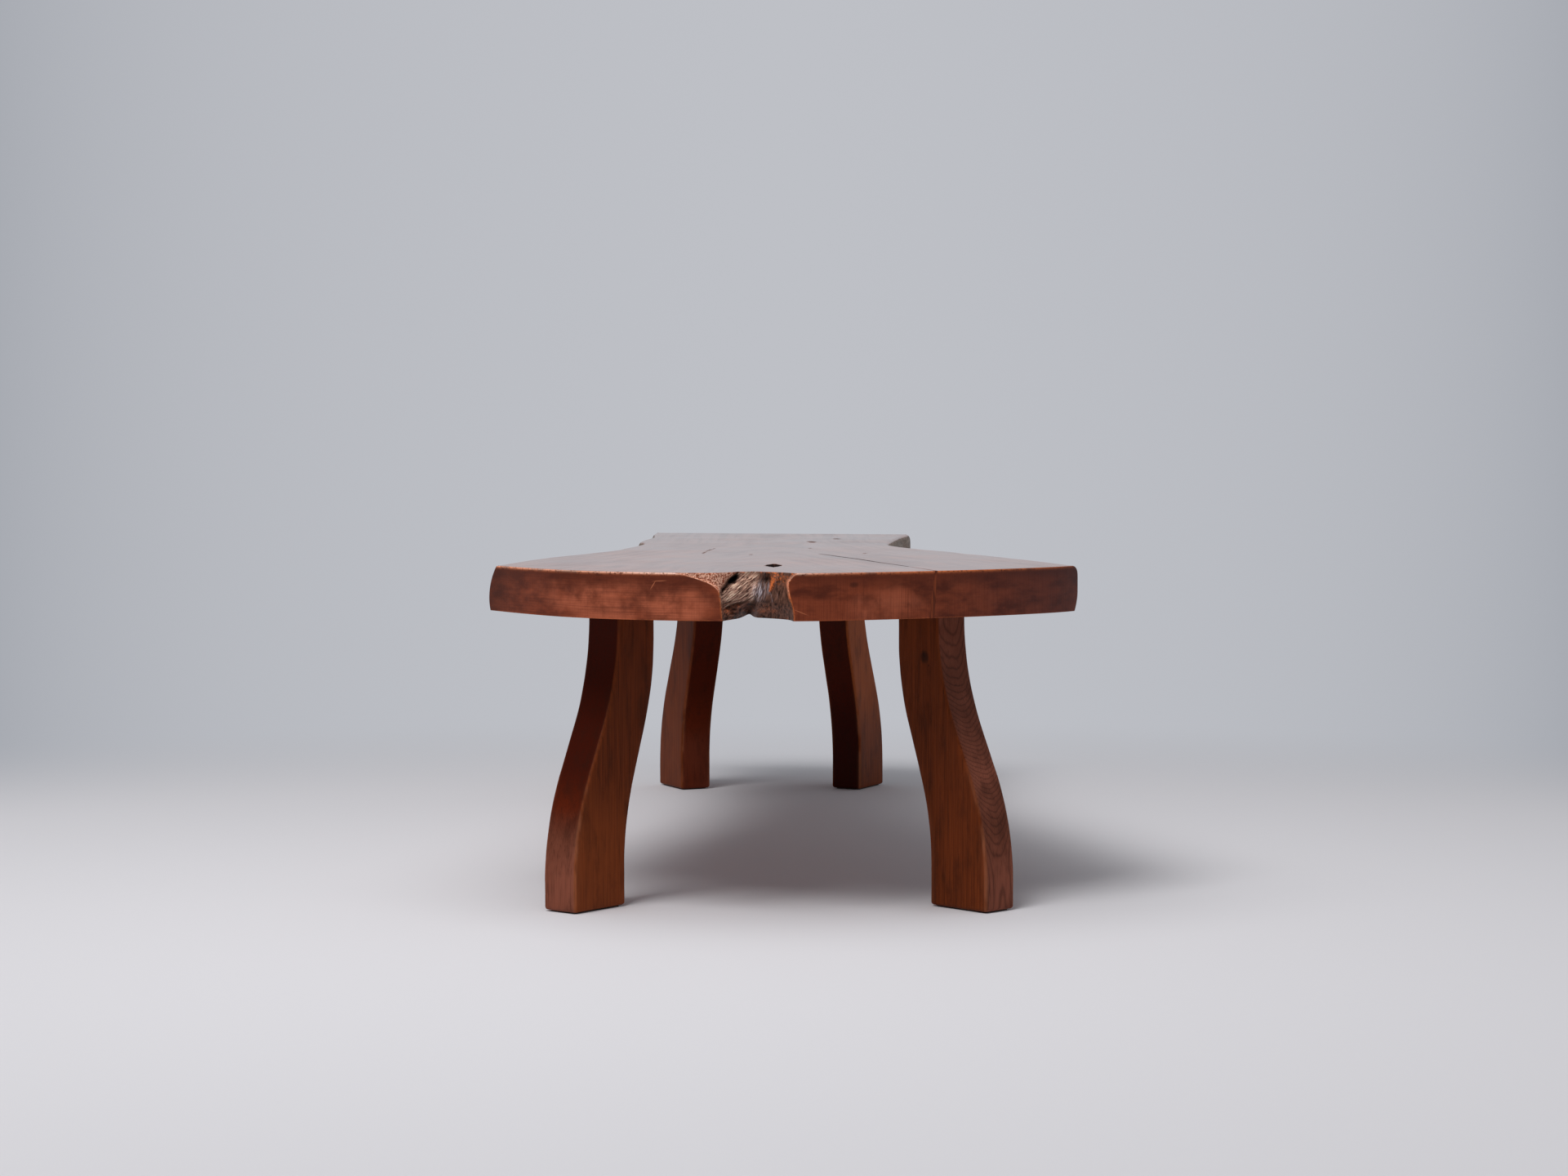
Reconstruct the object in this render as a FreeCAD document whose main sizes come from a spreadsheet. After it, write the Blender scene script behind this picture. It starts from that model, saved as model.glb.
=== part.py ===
"""A low table: one live-edged slab cut through the crotch of a tree, on four S-curved legs.

The frame is in millimetres: +X to the right of the wide end, +Y along the slab from its wide,
forked end to its narrow end, +Z up. The origin is on the floor below the middle of the slab.
"""

import FreeCAD, Part

import math
import os

import Sketcher

# Driving dimensions, in millimetres and degrees. Each becomes one named cell of the sheet.
SIZES = {
    "top_length": 1540,
    "top_width": 700,
    "table_height": 400,
    "slab_thickness": 54,
    "wane_depth": 12,
    "hollow_depth": 150,
    "leg_stock_thickness": 49.5,
    "leg_foot_width": 89.5,
    "leg_top_width": 65,
    "leg_foot_reach": 66.4,
    "leg_slant_length": 60,
    "outer_foot_straight_length": 32,
    "outer_top_straight_length": 6,
    "inner_foot_straight_length": 45,
    "inner_top_straight_length": 30,
    "leg_arris_radius": 3.5,
    "near_left_splay_angle": 38.1,
    "near_right_splay_angle": 43.9,
    "far_left_splay_angle": 25.6,
    "far_right_splay_angle": 25.9,
    "tenon_width": 42,
    "tenon_thickness": 25,
    "tenon_length": 38,
    "mortise_clearance": 0.2,
    "mortise_end_gap_depth": 2,
    "kerf_depth": 30,
    "kerf_mouth_width": 4.5,
    "kerf_tip_width": 1.5,
    "fox_wedge_side_gap_width": 0.5,
    "pad_thickness": 1.5,
    "pad_inset_width": 5,
    "pad_corner_radius": 4,
    "crack_heading_angle": 102.3,
    "crack_length": 576,
    "crack_bend_length": 270,
    "crack_bend_offset_width": 7,
    "crack_width": 1.6,
    "crack_depth": 12,
    "crack_spline_length": 120,
    "crack_spline_mouth_width": 7,
    "knot_length": 104,
    "knot_width": 18,
    "knot_depth": 30,
    "cut_overrun_length": 20,
}

# The level of the slab's widest outline, as a share of its thickness up from the underside.
BELLY_SHARE = 0.38

# Control points of the slab's outline at its belly, as shares of the top's width and length.
# The four further numbers, where given, move the point to its place on the upper face and on
# the underside, as shares of the wane depth. A live edge moves all its points by the same ones.
LEFT_SAW_CUT_SHARES = (
    (-0.500, -0.348, 1.08, -1.42, 0.25, -0.33),
    (-0.471, -0.371, 0.50, -0.67, 0.08, -0.08),
    (-0.374, -0.439, 0, 0, 0, 0),
    (-0.264, -0.477, -0.33, 0.25, 0, 0),
    (-0.157, -0.495, -2.83, 0.75, 0, 0),
    (-0.096, -0.496, -4.50, 0.67, -0.08, 0),
)
RIGHT_SAW_CUT_SHARES = (
    (0.013, -0.500, 1.33, 0, 0.50, 0.42),
    (0.060, -0.499, 0.83, 0.08, 0.33, 0.25),
    (0.179, -0.475, 0.08, 0, 0.08, 0),
    (0.303, -0.444, 0, 0, 0, 0),
    (0.420, -0.403, 0, 0, 0, 0),
    (0.486, -0.370, -0.25, -0.33, -0.25, -0.33),
    (0.503, -0.356, -0.67, -1.00, -0.50, -0.75),
)
FAR_SAW_CUT_SHARES = (
    (0.290, 0.448, -0.29, 0.12, -0.50, 0.10),
    (-0.303, 0.500, 0.67, -0.12, 0.17, -0.03),
)
RIGHT_LIVE_EDGE_SHARES = (
    (0.493, -0.328),
    (0.462, -0.269),
    (0.427, -0.211),
    (0.383, -0.146),
    (0.344, -0.109),
    (0.343, -0.073),
    (0.294, -0.016),
    (0.257, 0.040),
    (0.217, 0.117),
    (0.229, 0.208),
    (0.261, 0.341),
)
RIGHT_LIVE_SHIFT_SHARES = (-0.58, 0, -0.50, 0)
LEFT_LIVE_EDGE_SHARES = (
    (-0.303, 0.422),
    (-0.300, 0.344),
    (-0.317, 0.273),
    (-0.313, 0.195),
    (-0.303, 0.123),
    (-0.323, 0.039),
    (-0.343, -0.029),
    (-0.387, -0.097),
    (-0.423, -0.166),
    (-0.460, -0.234),
    (-0.483, -0.299),
)
LEFT_LIVE_SHIFT_SHARES = (1.00, 0, 0.17, 0)

# The bark hollow between the two saw cuts. Each row is one control point: its place across the
# top's width, and its recess behind the foremost line as a share of the hollow's depth, at the
# underside, then at the belly, then at the upper face.
HOLLOW_SHARES = (
    (-0.089, 0.19, -0.091, 0.15, -0.140, 0.13),
    (-0.077, 0.39, -0.083, 0.30, -0.103, 0.19),
    (-0.057, 0.99, -0.069, 0.50, -0.080, 0.32),
    (-0.047, 0.68, -0.047, 0.70, -0.057, 0.47),
    (-0.029, 0.53, -0.020, 0.53, -0.017, 0.48),
    (-0.003, 0.32, 0.003, 0.28, 0.006, 0.19),
)
FOREMOST_SHARE = -0.5

# Each leg's place under the slab, as shares of the top's width and length.
LEG_PLACE_SHARES = {
    "near_left": (-0.272, -0.369),
    "near_right": (0.253, -0.369),
    "far_left": (-0.181, 0.396),
    "far_right": (0.129, 0.396),
}
QUARTER_TURN_ANGLE = 90

# Where the drying crack opens on the right saw cut, and the knot hole's centre, as shares of the
# top's width and length. The crack narrows to a share of its width at its far end.
CRACK_MOUTH_SHARE = (0.247, -0.4565)
CRACK_TIP_WIDTH_SHARE = 0.25
KNOT_PLACE_SHARE = (-0.014, -0.3565)

# The heights of the sole and of the shoulder, and of the slab's three levels.
FOOT = {"pad_thickness": 1}
SHOULDER = {"table_height": 1, "slab_thickness": -1}
LEVEL_HEIGHTS = {
    "under": SHOULDER,
    "belly": {"table_height": 1, "slab_thickness": BELLY_SHARE - 1},
    "top": {"table_height": 1},
}

# Two places nearer than this, in millimetres, are one.
TOUCH = 0.001

UP = FreeCAD.Vector(0, 0, 1)

# How a sketch numbers its own origin, and the start, end and centre of a curve.
ORIGIN_POINT = (-1, 1)
START, END, CENTRE = range(1, 4)

# What a control point of a spline is told: its degree, its weight and that it lies on the spline.
SPLINE_DEGREE = 3
POLE_WEIGHT = 1
ON_SPLINE = "InternalAlignment:Sketcher::BSplineControlPoint"


def sheet_of_sizes(document):
    """Puts every driving dimension in a sheet, as a plain number with an alias."""
    sheet = document.addObject("Spreadsheet::Sheet", "dims")
    for row, (alias, value) in enumerate(SIZES.items(), start=1):
        sheet.set(f"A{row}", alias)
        sheet.set(f"B{row}", str(value))
        sheet.setAlias(f"B{row}", alias)
    document.recompute()
    return sheet


def total(terms):
    """The value of a sum of named sizes, each times its share."""
    return sum(SIZES[name] * share for name, share in terms.items())


def formula(terms):
    """The same sum, written as an expression on the sheet."""
    return " + ".join(f"dims.{name} * ({share})" for name, share in terms.items()) or "0"


def merged(*parts):
    """One sum of named sizes from several."""
    result = {}
    for part in parts:
        for name, share in part.items():
            result[name] = result.get(name, 0) + share
    return result


def scaled(terms, factor):
    """A sum of named sizes times a factor."""
    return {name: share * factor for name, share in terms.items()}


def vector(x_terms, y_terms):
    """The point that two sums of named sizes give, in a sketch's plane."""
    return FreeCAD.Vector(total(x_terms), total(y_terms), 0)


def origin_plane(body, role):
    """The named plane of a body's own origin."""
    return next(item for item in body.Origin.OriginFeatures if item.Role == role)


def bind(target, path, terms):
    """Binds a property to a sum of named sizes."""
    target.setExpression(path, formula(terms))


def sketch_on(body, role, name, height=None):
    """A sketch on one of the body's origin planes, raised by a sum of named sizes."""
    sketch = body.newObject("Sketcher::SketchObject", name)
    sketch.AttachmentSupport = [(origin_plane(body, role), "")]
    sketch.MapMode = "FlatFace"
    if height is not None:
        bind(sketch, ".AttachmentOffset.Base.z", height)
    return sketch


class Drawing:
    """A sketch being drawn. Its constraints are kept in a list and added together at the end."""

    def __init__(self, sketch):
        self.sketch = sketch
        self.constraints = []
        self.formulas = {}

    def rule(self, kind, *targets):
        """A constraint with no size of its own, or with a fixed one."""
        self.constraints.append(Sketcher.Constraint(kind, *targets))

    def size(self, kind, targets, terms):
        """A dimension tied to a sum of named sizes."""
        self.formulas[len(self.constraints)] = formula(terms)
        self.rule(kind, *targets, total(terms))

    def fix_point(self, geometry, point, x_terms, y_terms):
        """Ties a point to sums of named sizes from the sketch's origin."""
        self.size("DistanceX", (*ORIGIN_POINT, geometry, point), x_terms)
        self.size("DistanceY", (*ORIGIN_POINT, geometry, point), y_terms)

    def worded_size(self, kind, targets, value, words):
        """A dimension tied to an expression of its own."""
        self.formulas[len(self.constraints)] = words
        self.rule(kind, *targets, value)

    def add(self, curve, construction=False):
        """Adds a curve and returns its number."""
        return self.sketch.addGeometry(curve, construction)

    def line(self, start, end):
        """A straight line between two points, each a pair of sums of named sizes."""
        line = self.add(Part.LineSegment(vector(*start), vector(*end)))
        self.fix_point(line, START, *start)
        self.fix_point(line, END, *end)

    def polygon(self, points):
        """A closed polygon."""
        for start, end in zip(points, points[1:] + points[:1]):
            self.line(start, end)

    def rectangle(self, x_centre, x_half, y_half):
        """A rectangle about a point of the sketch's own X axis."""
        low = merged(x_centre, scaled(x_half, -1))
        high = merged(x_centre, x_half)
        below = scaled(y_half, -1)
        self.polygon([(low, below), (high, below), (high, y_half), (low, y_half)])

    def spline(self, points):
        """A cubic B-spline, from its first control point to its last."""
        poles = [vector(*point) for point in points]
        curve = self.add(Part.BSplineCurve(poles, None, None, False, SPLINE_DEGREE, None, False))
        for index, (pole, point) in enumerate(zip(poles, points)):
            circle = self.add(Part.Circle(pole, UP, POLE_WEIGHT), True)
            self.rule("Weight", circle, POLE_WEIGHT)
            self.rule(ON_SPLINE, circle, CENTRE, curve, index)
            self.fix_point(circle, CENTRE, *point)

    def finish(self):
        """Adds the constraints and binds their sizes to the sheet."""
        self.sketch.addConstraint(self.constraints)
        for index, words in self.formulas.items():
            self.sketch.setExpression(f"Constraints[{index}]", words)


def outline_point(shares, level, shift_shares=None):
    """One control point of the outline, at the belly, the upper face or the underside."""
    x_share, y_share = shares[:2]
    shifts = shift_shares or shares[2:]
    x_shift, y_shift = {"top": shifts[:2], "belly": (0, 0), "under": shifts[2:]}[level]
    return (
        {"top_width": x_share, "wane_depth": x_shift},
        {"top_length": y_share, "wane_depth": y_shift},
    )


def hollow_point(shares, level):
    """One control point of the bark hollow at a level."""
    first = {"under": 0, "belly": 2, "top": 4}[level]
    x_share, recess_share = shares[first : first + 2]
    return (
        {"top_width": x_share},
        {"top_length": FOREMOST_SHARE, "hollow_depth": recess_share},
    )


def draw_outline(sketch, level):
    """The slab's closed outline at one level: saw cuts, hollow and live edges, corner to corner."""
    left_cut = [outline_point(shares, level) for shares in LEFT_SAW_CUT_SHARES]
    right_cut = [outline_point(shares, level) for shares in RIGHT_SAW_CUT_SHARES]
    far_right, far_left = [outline_point(shares, level) for shares in FAR_SAW_CUT_SHARES]
    hollow = [hollow_point(shares, level) for shares in HOLLOW_SHARES]
    right_live = [
        outline_point(shares, level, RIGHT_LIVE_SHIFT_SHARES) for shares in RIGHT_LIVE_EDGE_SHARES
    ]
    left_live = [
        outline_point(shares, level, LEFT_LIVE_SHIFT_SHARES) for shares in LEFT_LIVE_EDGE_SHARES
    ]
    drawing = Drawing(sketch)
    drawing.spline(left_cut)
    drawing.spline([left_cut[-1], *hollow, right_cut[0]])
    drawing.spline(right_cut)
    drawing.spline([right_cut[-1], *right_live, far_right])
    drawing.line(far_right, far_left)
    drawing.spline([far_left, *left_live, left_cut[0]])
    drawing.finish()


def slab_blank(document):
    """The whole slab before it is cut: a loft through the outlines of its three levels."""
    body = document.addObject("PartDesign::Body", "slab_blank")
    sketches = []
    for level, height in LEVEL_HEIGHTS.items():
        sketch = sketch_on(body, "XY_Plane", f"outline_{level}", height)
        draw_outline(sketch, level)
        sketches.append(sketch)
    loft = body.newObject("PartDesign::AdditiveLoft", "slab_loft")
    loft.Profile = (sketches[0], [""])
    loft.Sections = [(sketch, [""]) for sketch in sketches[1:]]
    return body


def pad(body, name, sketch, length, symmetric=False):
    """Pads a sketch by a sum of named sizes, upwards or to both sides."""
    feature = body.newObject("PartDesign::Pad", name)
    feature.Profile = (sketch, [""])
    feature.Midplane = symmetric
    bind(feature, "Length", length)
    return feature


def pocket(body, name, sketch, length, symmetric=False, upwards=False):
    """Cuts a sketch's area out of the body, downwards, upwards or to both sides."""
    feature = body.newObject("PartDesign::Pocket", name)
    feature.Profile = (sketch, [""])
    feature.Midplane = symmetric
    feature.Reversed = upwards
    bind(feature, "Length", length)
    return feature


def place_sketch(sketch, place_share, turn):
    """Moves a level sketch to shares of the top's width and length, and turns it."""
    x_share, y_share = place_share
    bind(sketch, ".AttachmentOffset.Base.x", {"top_width": x_share})
    bind(sketch, ".AttachmentOffset.Base.y", {"top_length": y_share})
    sketch.setExpression(".AttachmentOffset.Rotation.Angle", turn)


def leg_turn(name):
    """The heading of a leg's outward direction, in degrees from +X: along the slab and away from
    its middle, then turned to the leg's own side by its splay."""
    x_share, y_share = LEG_PLACE_SHARES[name]
    along = math.copysign(QUARTER_TURN_ANGLE, y_share)
    sign = "-" if x_share * y_share > 0 else "+"
    return f"{along} {sign} dims.{name}_splay_angle"


def draw_knot(sketch):
    """A pointed oval along the slab: two equal arcs that meet at both ends."""
    half_length = total({"knot_length": 0.5})
    half_width = total({"knot_width": 0.5})
    radius = (half_length**2 + half_width**2) / (2 * half_width)
    swing = math.asin(half_length / radius)
    drawing = Drawing(sketch)
    right_circle = Part.Circle(FreeCAD.Vector(half_width - radius, 0, 0), UP, radius)
    left_circle = Part.Circle(FreeCAD.Vector(radius - half_width, 0, 0), UP, radius)
    right = drawing.add(Part.ArcOfCircle(right_circle, -swing, swing))
    left = drawing.add(Part.ArcOfCircle(left_circle, math.pi - swing, math.pi + swing))
    drawing.fix_point(right, START, {}, {"knot_length": -0.5})
    drawing.fix_point(right, END, {}, {"knot_length": 0.5})
    drawing.rule("Coincident", left, START, right, END)
    drawing.rule("Coincident", left, END, right, START)
    drawing.rule("Equal", left, right)
    words = "(dims.knot_length ^ 2 + dims.knot_width ^ 2) / (4 * dims.knot_width)"
    drawing.worded_size("Radius", (right,), radius, words)
    drawing.finish()


def crack_slot_points():
    """The spline's slot, from beyond the saw cut to where it is as narrow as the crack."""
    mouth = {"crack_spline_mouth_width": 0.5}
    narrow = {"crack_width": 0.5}
    ways = [({"cut_overrun_length": -1}, mouth), ({}, mouth), ({"crack_spline_length": 1}, narrow)]
    right_side = [(along, scaled(half, -1)) for along, half in ways]
    return [*right_side, *reversed(ways)]


def draw_crack_slot(sketch):
    """The slot's outline, laid along the crack."""
    place_sketch(sketch, CRACK_MOUTH_SHARE, "dims.crack_heading_angle")
    drawing = Drawing(sketch)
    drawing.polygon(crack_slot_points())
    drawing.finish()


def draw_crack(sketch):
    """The open crack beyond the spline, narrowing towards the middle of the slab."""
    place_sketch(sketch, CRACK_MOUTH_SHARE, "dims.crack_heading_angle")
    half = {"crack_width": 0.5}
    tip_half = scaled(half, CRACK_TIP_WIDTH_SHARE)
    offset = {"crack_bend_offset_width": -1}
    ways = [
        ({"crack_spline_length": 1}, {}, half),
        ({"crack_bend_length": 1}, offset, half),
        ({"crack_length": 1}, {}, tip_half),
    ]
    right_side = [(along, merged(aside, scaled(width, -1))) for along, aside, width in ways]
    left_side = [(along, merged(aside, width)) for along, aside, width in reversed(ways)]
    drawing = Drawing(sketch)
    drawing.polygon(right_side + left_side)
    drawing.finish()


def slab_top(document, blank):
    """The slab with its mortises, its knot hole and the drying crack with the spline's slot."""
    body = document.addObject("PartDesign::Body", "slab_top")
    body.BaseFeature = blank
    document.recompute()
    mortise_depth = {"tenon_length": 1, "mortise_end_gap_depth": 1}
    for name, place_share in LEG_PLACE_SHARES.items():
        sketch = sketch_on(body, "XY_Plane", f"{name}_mortise_outline", SHOULDER)
        place_sketch(sketch, place_share, leg_turn(name))
        drawing = Drawing(sketch)
        half_width = {"tenon_width": 0.5, "mortise_clearance": 1}
        half_thickness = {"tenon_thickness": 0.5, "mortise_clearance": 1}
        drawing.rectangle({}, half_width, half_thickness)
        drawing.finish()
        pocket(body, f"{name}_mortise", sketch, mortise_depth, upwards=True)
    knot = sketch_on(body, "XY_Plane", "knot_outline", {"table_height": 1})
    place_sketch(knot, KNOT_PLACE_SHARE, "0")
    draw_knot(knot)
    pocket(body, "knot_hole", knot, {"knot_depth": 1})
    slot = sketch_on(body, "XY_Plane", "crack_slot_outline", {"table_height": 1})
    draw_crack_slot(slot)
    pocket(body, "crack_slot", slot, {"slab_thickness": 1, "cut_overrun_length": 1})
    crack = sketch_on(body, "XY_Plane", "crack_outline", {"table_height": 1})
    draw_crack(crack)
    pocket(body, "crack", crack, {"crack_depth": 1})
    return body


def crack_spline(document, blank):
    """The thin spline glued into the crack's mouth, planed flush with the slab all round."""
    body = document.addObject("PartDesign::Body", "crack_spline_blank")
    sketch = sketch_on(body, "XY_Plane", "crack_spline_outline", SHOULDER)
    draw_crack_slot(sketch)
    pad(body, "crack_spline_strip", sketch, {"slab_thickness": 1})
    spline = document.addObject("Part::Common", "crack_spline")
    spline.Base = blank
    spline.Tool = body
    return spline


def stand_leg_piece(body, name):
    """Places a piece that is drawn in a leg's own frame: origin on the floor below its tenon."""
    x_share, y_share = LEG_PLACE_SHARES[name]
    bind(body, ".Placement.Base.x", {"top_width": x_share})
    bind(body, ".Placement.Base.y", {"top_length": y_share})
    body.setExpression(".Placement.Rotation.Angle", leg_turn(name))


def draw_s_edge(drawing, edge, side_share):
    """One S-curved edge of a leg, from its foot up: straight, arc, slant, arc, straight.

    Both arcs have one radius, which follows from the rise, the run and the slant's length.
    Returns the straight lines at the foot and at the top."""
    foot_straight = f"{edge}_foot_straight_length"
    top_straight = f"{edge}_top_straight_length"
    foot_x = {"leg_foot_reach": 1, "leg_foot_width": side_share}
    top_x = {"leg_top_width": side_share}
    bend_start = merged(FOOT, {foot_straight: 1})
    bend_end = merged(SHOULDER, {top_straight: -1})
    rise = total(bend_end) - total(bend_start)
    run = total(foot_x) - total(top_x)
    slant_length = total({"leg_slant_length": 1})
    radius = (rise**2 + run**2 - slant_length**2) / (4 * run)
    turn = math.atan2(rise, 2 * radius - run) - math.atan2(slant_length, 2 * radius)
    lower_centre = vector(foot_x, bend_start) - FreeCAD.Vector(radius, 0, 0)
    upper_centre = vector(top_x, bend_end) + FreeCAD.Vector(radius, 0, 0)
    out = FreeCAD.Vector(math.cos(turn), math.sin(turn), 0) * radius
    foot = drawing.add(Part.LineSegment(vector(foot_x, FOOT), vector(foot_x, bend_start)))
    lower = drawing.add(Part.ArcOfCircle(Part.Circle(lower_centre, UP, radius), 0, turn))
    slant = drawing.add(Part.LineSegment(lower_centre + out, upper_centre - out))
    upper_circle = Part.Circle(upper_centre, UP, radius)
    upper = drawing.add(Part.ArcOfCircle(upper_circle, math.pi, math.pi + turn))
    top = drawing.add(Part.LineSegment(vector(top_x, bend_end), vector(top_x, SHOULDER)))
    drawing.rule("Vertical", foot)
    drawing.rule("Vertical", top)
    drawing.rule("Tangent", foot, END, lower, START)
    drawing.rule("Tangent", lower, END, slant, START)
    drawing.rule("Tangent", slant, END, upper, END)
    drawing.rule("Tangent", upper, START, top, START)
    drawing.rule("Equal", lower, upper)
    drawing.fix_point(foot, START, foot_x, FOOT)
    drawing.fix_point(top, END, top_x, SHOULDER)
    drawing.size("Distance", (foot,), {foot_straight: 1})
    drawing.size("Distance", (top,), {top_straight: 1})
    drawing.size("Distance", (slant,), {"leg_slant_length": 1})
    return foot, top


def draw_leg_side(sketch):
    """A leg's side view: the outer and the inner edge, closed at the sole and at the shoulder."""
    drawing = Drawing(sketch)
    outer_foot, outer_top = draw_s_edge(drawing, "outer", 0.5)
    inner_foot, inner_top = draw_s_edge(drawing, "inner", -0.5)
    for first, second, point in ((inner_foot, outer_foot, START), (outer_top, inner_top, END)):
        ends = [drawing.sketch.getPoint(line, point) for line in (first, second)]
        closing = drawing.add(Part.LineSegment(*ends))
        drawing.rule("Coincident", closing, START, first, point)
        drawing.rule("Coincident", closing, END, second, point)
    drawing.finish()


def arris_names(shape):
    """The long edges of a sawn leg and the four round its sole, which are all eased alike."""
    box = shape.BoundBox
    names = []
    for number, edge in enumerate(shape.Edges, start=1):
        ends = [vertex.Point for vertex in (edge.Vertexes[0], edge.Vertexes[-1])]
        at_shoulder = all(abs(point.z - box.ZMax) < TOUCH for point in ends)
        at_sole = all(abs(point.z - box.ZMin) < TOUCH for point in ends)
        on_side = any(
            all(abs(point.y - side) < TOUCH for point in ends) for side in (box.YMin, box.YMax)
        )
        if at_sole or (on_side and not at_shoulder):
            names.append(f"Edge{number}")
    return names


def draw_kerf(sketch):
    """The tapered kerf in a tenon, which is also the fox wedge's outline."""
    tip_height = merged(SHOULDER, {"tenon_length": 1, "kerf_depth": -1})
    mouth_height = merged(SHOULDER, {"tenon_length": 1})
    ways = [({"kerf_tip_width": 0.5}, tip_height), ({"kerf_mouth_width": 0.5}, mouth_height)]
    left_side = [(scaled(half, -1), height) for half, height in reversed(ways)]
    drawing = Drawing(sketch)
    drawing.polygon([*ways, *left_side])
    drawing.finish()


def leg(document, name):
    """One leg: sawn from a plank, its arrises eased, with a tenon kerfed for the fox wedge."""
    body = document.addObject("PartDesign::Body", f"{name}_leg")
    side = sketch_on(body, "XZ_Plane", f"{name}_leg_side")
    draw_leg_side(side)
    sawn = pad(body, f"{name}_leg_sawn", side, {"leg_stock_thickness": 1}, symmetric=True)
    document.recompute()
    eased = body.newObject("PartDesign::Fillet", f"{name}_leg_eased")
    eased.Base = (sawn, arris_names(sawn.Shape))
    bind(eased, "Radius", {"leg_arris_radius": 1})
    end = sketch_on(body, "XY_Plane", f"{name}_tenon_outline", SHOULDER)
    drawing = Drawing(end)
    drawing.rectangle({}, {"tenon_width": 0.5}, {"tenon_thickness": 0.5})
    drawing.finish()
    pad(body, f"{name}_tenon", end, {"tenon_length": 1})
    kerf = sketch_on(body, "XZ_Plane", f"{name}_kerf_outline")
    draw_kerf(kerf)
    kerf_length = {"tenon_thickness": 1, "cut_overrun_length": 1}
    pocket(body, f"{name}_kerf", kerf, kerf_length, symmetric=True)
    stand_leg_piece(body, name)
    return body


def fox_wedge(document, name):
    """The wedge that spreads a tenon in its blind mortise."""
    body = document.addObject("PartDesign::Body", f"{name}_fox_wedge")
    outline = sketch_on(body, "XZ_Plane", f"{name}_fox_wedge_outline")
    draw_kerf(outline)
    width = {"tenon_thickness": 1, "fox_wedge_side_gap_width": -2}
    pad(body, f"{name}_fox_wedge_strip", outline, width, symmetric=True)
    stand_leg_piece(body, name)
    return body


def foot_pad(document, name):
    """The felt pad under a foot, set in from the foot's edges."""
    body = document.addObject("PartDesign::Body", f"{name}_foot_pad")
    outline = sketch_on(body, "XY_Plane", f"{name}_foot_pad_outline")
    drawing = Drawing(outline)
    half_width = {"leg_foot_width": 0.5, "pad_inset_width": -1}
    half_depth = {"leg_stock_thickness": 0.5, "pad_inset_width": -1}
    drawing.rectangle({"leg_foot_reach": 1}, half_width, half_depth)
    drawing.finish()
    blank = pad(body, f"{name}_foot_pad_blank", outline, {"pad_thickness": 1})
    document.recompute()
    rounded = body.newObject("PartDesign::Fillet", f"{name}_foot_pad_rounded")
    rounded.Base = (blank, upright_names(blank.Shape))
    bind(rounded, "Radius", {"pad_corner_radius": 1})
    stand_leg_piece(body, name)
    return body


def upright_names(shape):
    """The vertical edges of a shape."""
    return [
        f"Edge{number}"
        for number, edge in enumerate(shape.Edges, start=1)
        if edge.BoundBox.ZLength > TOUCH
    ]


def check(document, pieces):
    """Stops if anything failed, a cut missed its body, or a piece isn't one valid solid."""
    for item in document.Objects:
        if {"Invalid", "Error"} & set(item.State):
            raise RuntimeError(f"{item.Name} failed: {item.State}")
        if item.TypeId == "PartDesign::Pocket":
            if item.Shape.Volume > item.BaseFeature.Shape.Volume - TOUCH:
                raise RuntimeError(f"{item.Name} cuts nothing")
    for piece in pieces:
        if piece.Shape.isNull() or not piece.Shape.isValid():
            raise RuntimeError(f"{piece.Label} has no valid shape")
        if len(piece.Shape.Solids) != 1:
            raise RuntimeError(f"{piece.Label} is {len(piece.Shape.Solids)} solids")


def main():
    document = FreeCAD.newDocument("table")
    sheet_of_sizes(document)
    blank = slab_blank(document)
    pieces = [slab_top(document, blank), crack_spline(document, blank)]
    for name in LEG_PLACE_SHARES:
        pieces += [leg(document, name), fox_wedge(document, name), foot_pad(document, name)]
    document.recompute()
    check(document, pieces)
    os.makedirs("parts", exist_ok=True)
    for piece in pieces:
        piece.Shape.exportStep(f"parts/{piece.Label}.step")
        print(f"{piece.Label}: {piece.Shape.Volume / 1000:.1f} cm3")


main()
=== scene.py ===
"""The looks of a low slab table: its crotch-cut slab, bark hollow, S-curved legs and studio.

Lengths are in metres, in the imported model's own frame: +X to the right of the wide end, +Y along
the slab to its narrow end, +Z up, with the origin on the floor below the middle of the slab. The
tables of shapes are in millimetres and degrees, and they say so.
"""

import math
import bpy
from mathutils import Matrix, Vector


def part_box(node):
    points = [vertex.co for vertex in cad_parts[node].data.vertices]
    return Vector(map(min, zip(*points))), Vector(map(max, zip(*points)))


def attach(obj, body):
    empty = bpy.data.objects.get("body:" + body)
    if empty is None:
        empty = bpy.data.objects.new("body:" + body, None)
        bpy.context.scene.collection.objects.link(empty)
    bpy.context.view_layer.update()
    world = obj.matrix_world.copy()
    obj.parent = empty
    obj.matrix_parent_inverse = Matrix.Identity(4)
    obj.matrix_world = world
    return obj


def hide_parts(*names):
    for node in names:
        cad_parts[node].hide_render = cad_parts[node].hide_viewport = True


bl_info = {
    "name": "Crotch Slab Table",
    "version": (1, 0, 0),
    "blender": (4, 5, 0),
    "location": "3D View > Sidebar > Slab Table",
    "description": "Dresses the slab table's frame with its wood, its bark hollow and a studio",
    "category": "Object",
}

from types import SimpleNamespace

import bpy
import numpy as np
from bpy.props import FloatProperty, FloatVectorProperty, PointerProperty
from mathutils import Vector, geometry

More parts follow.
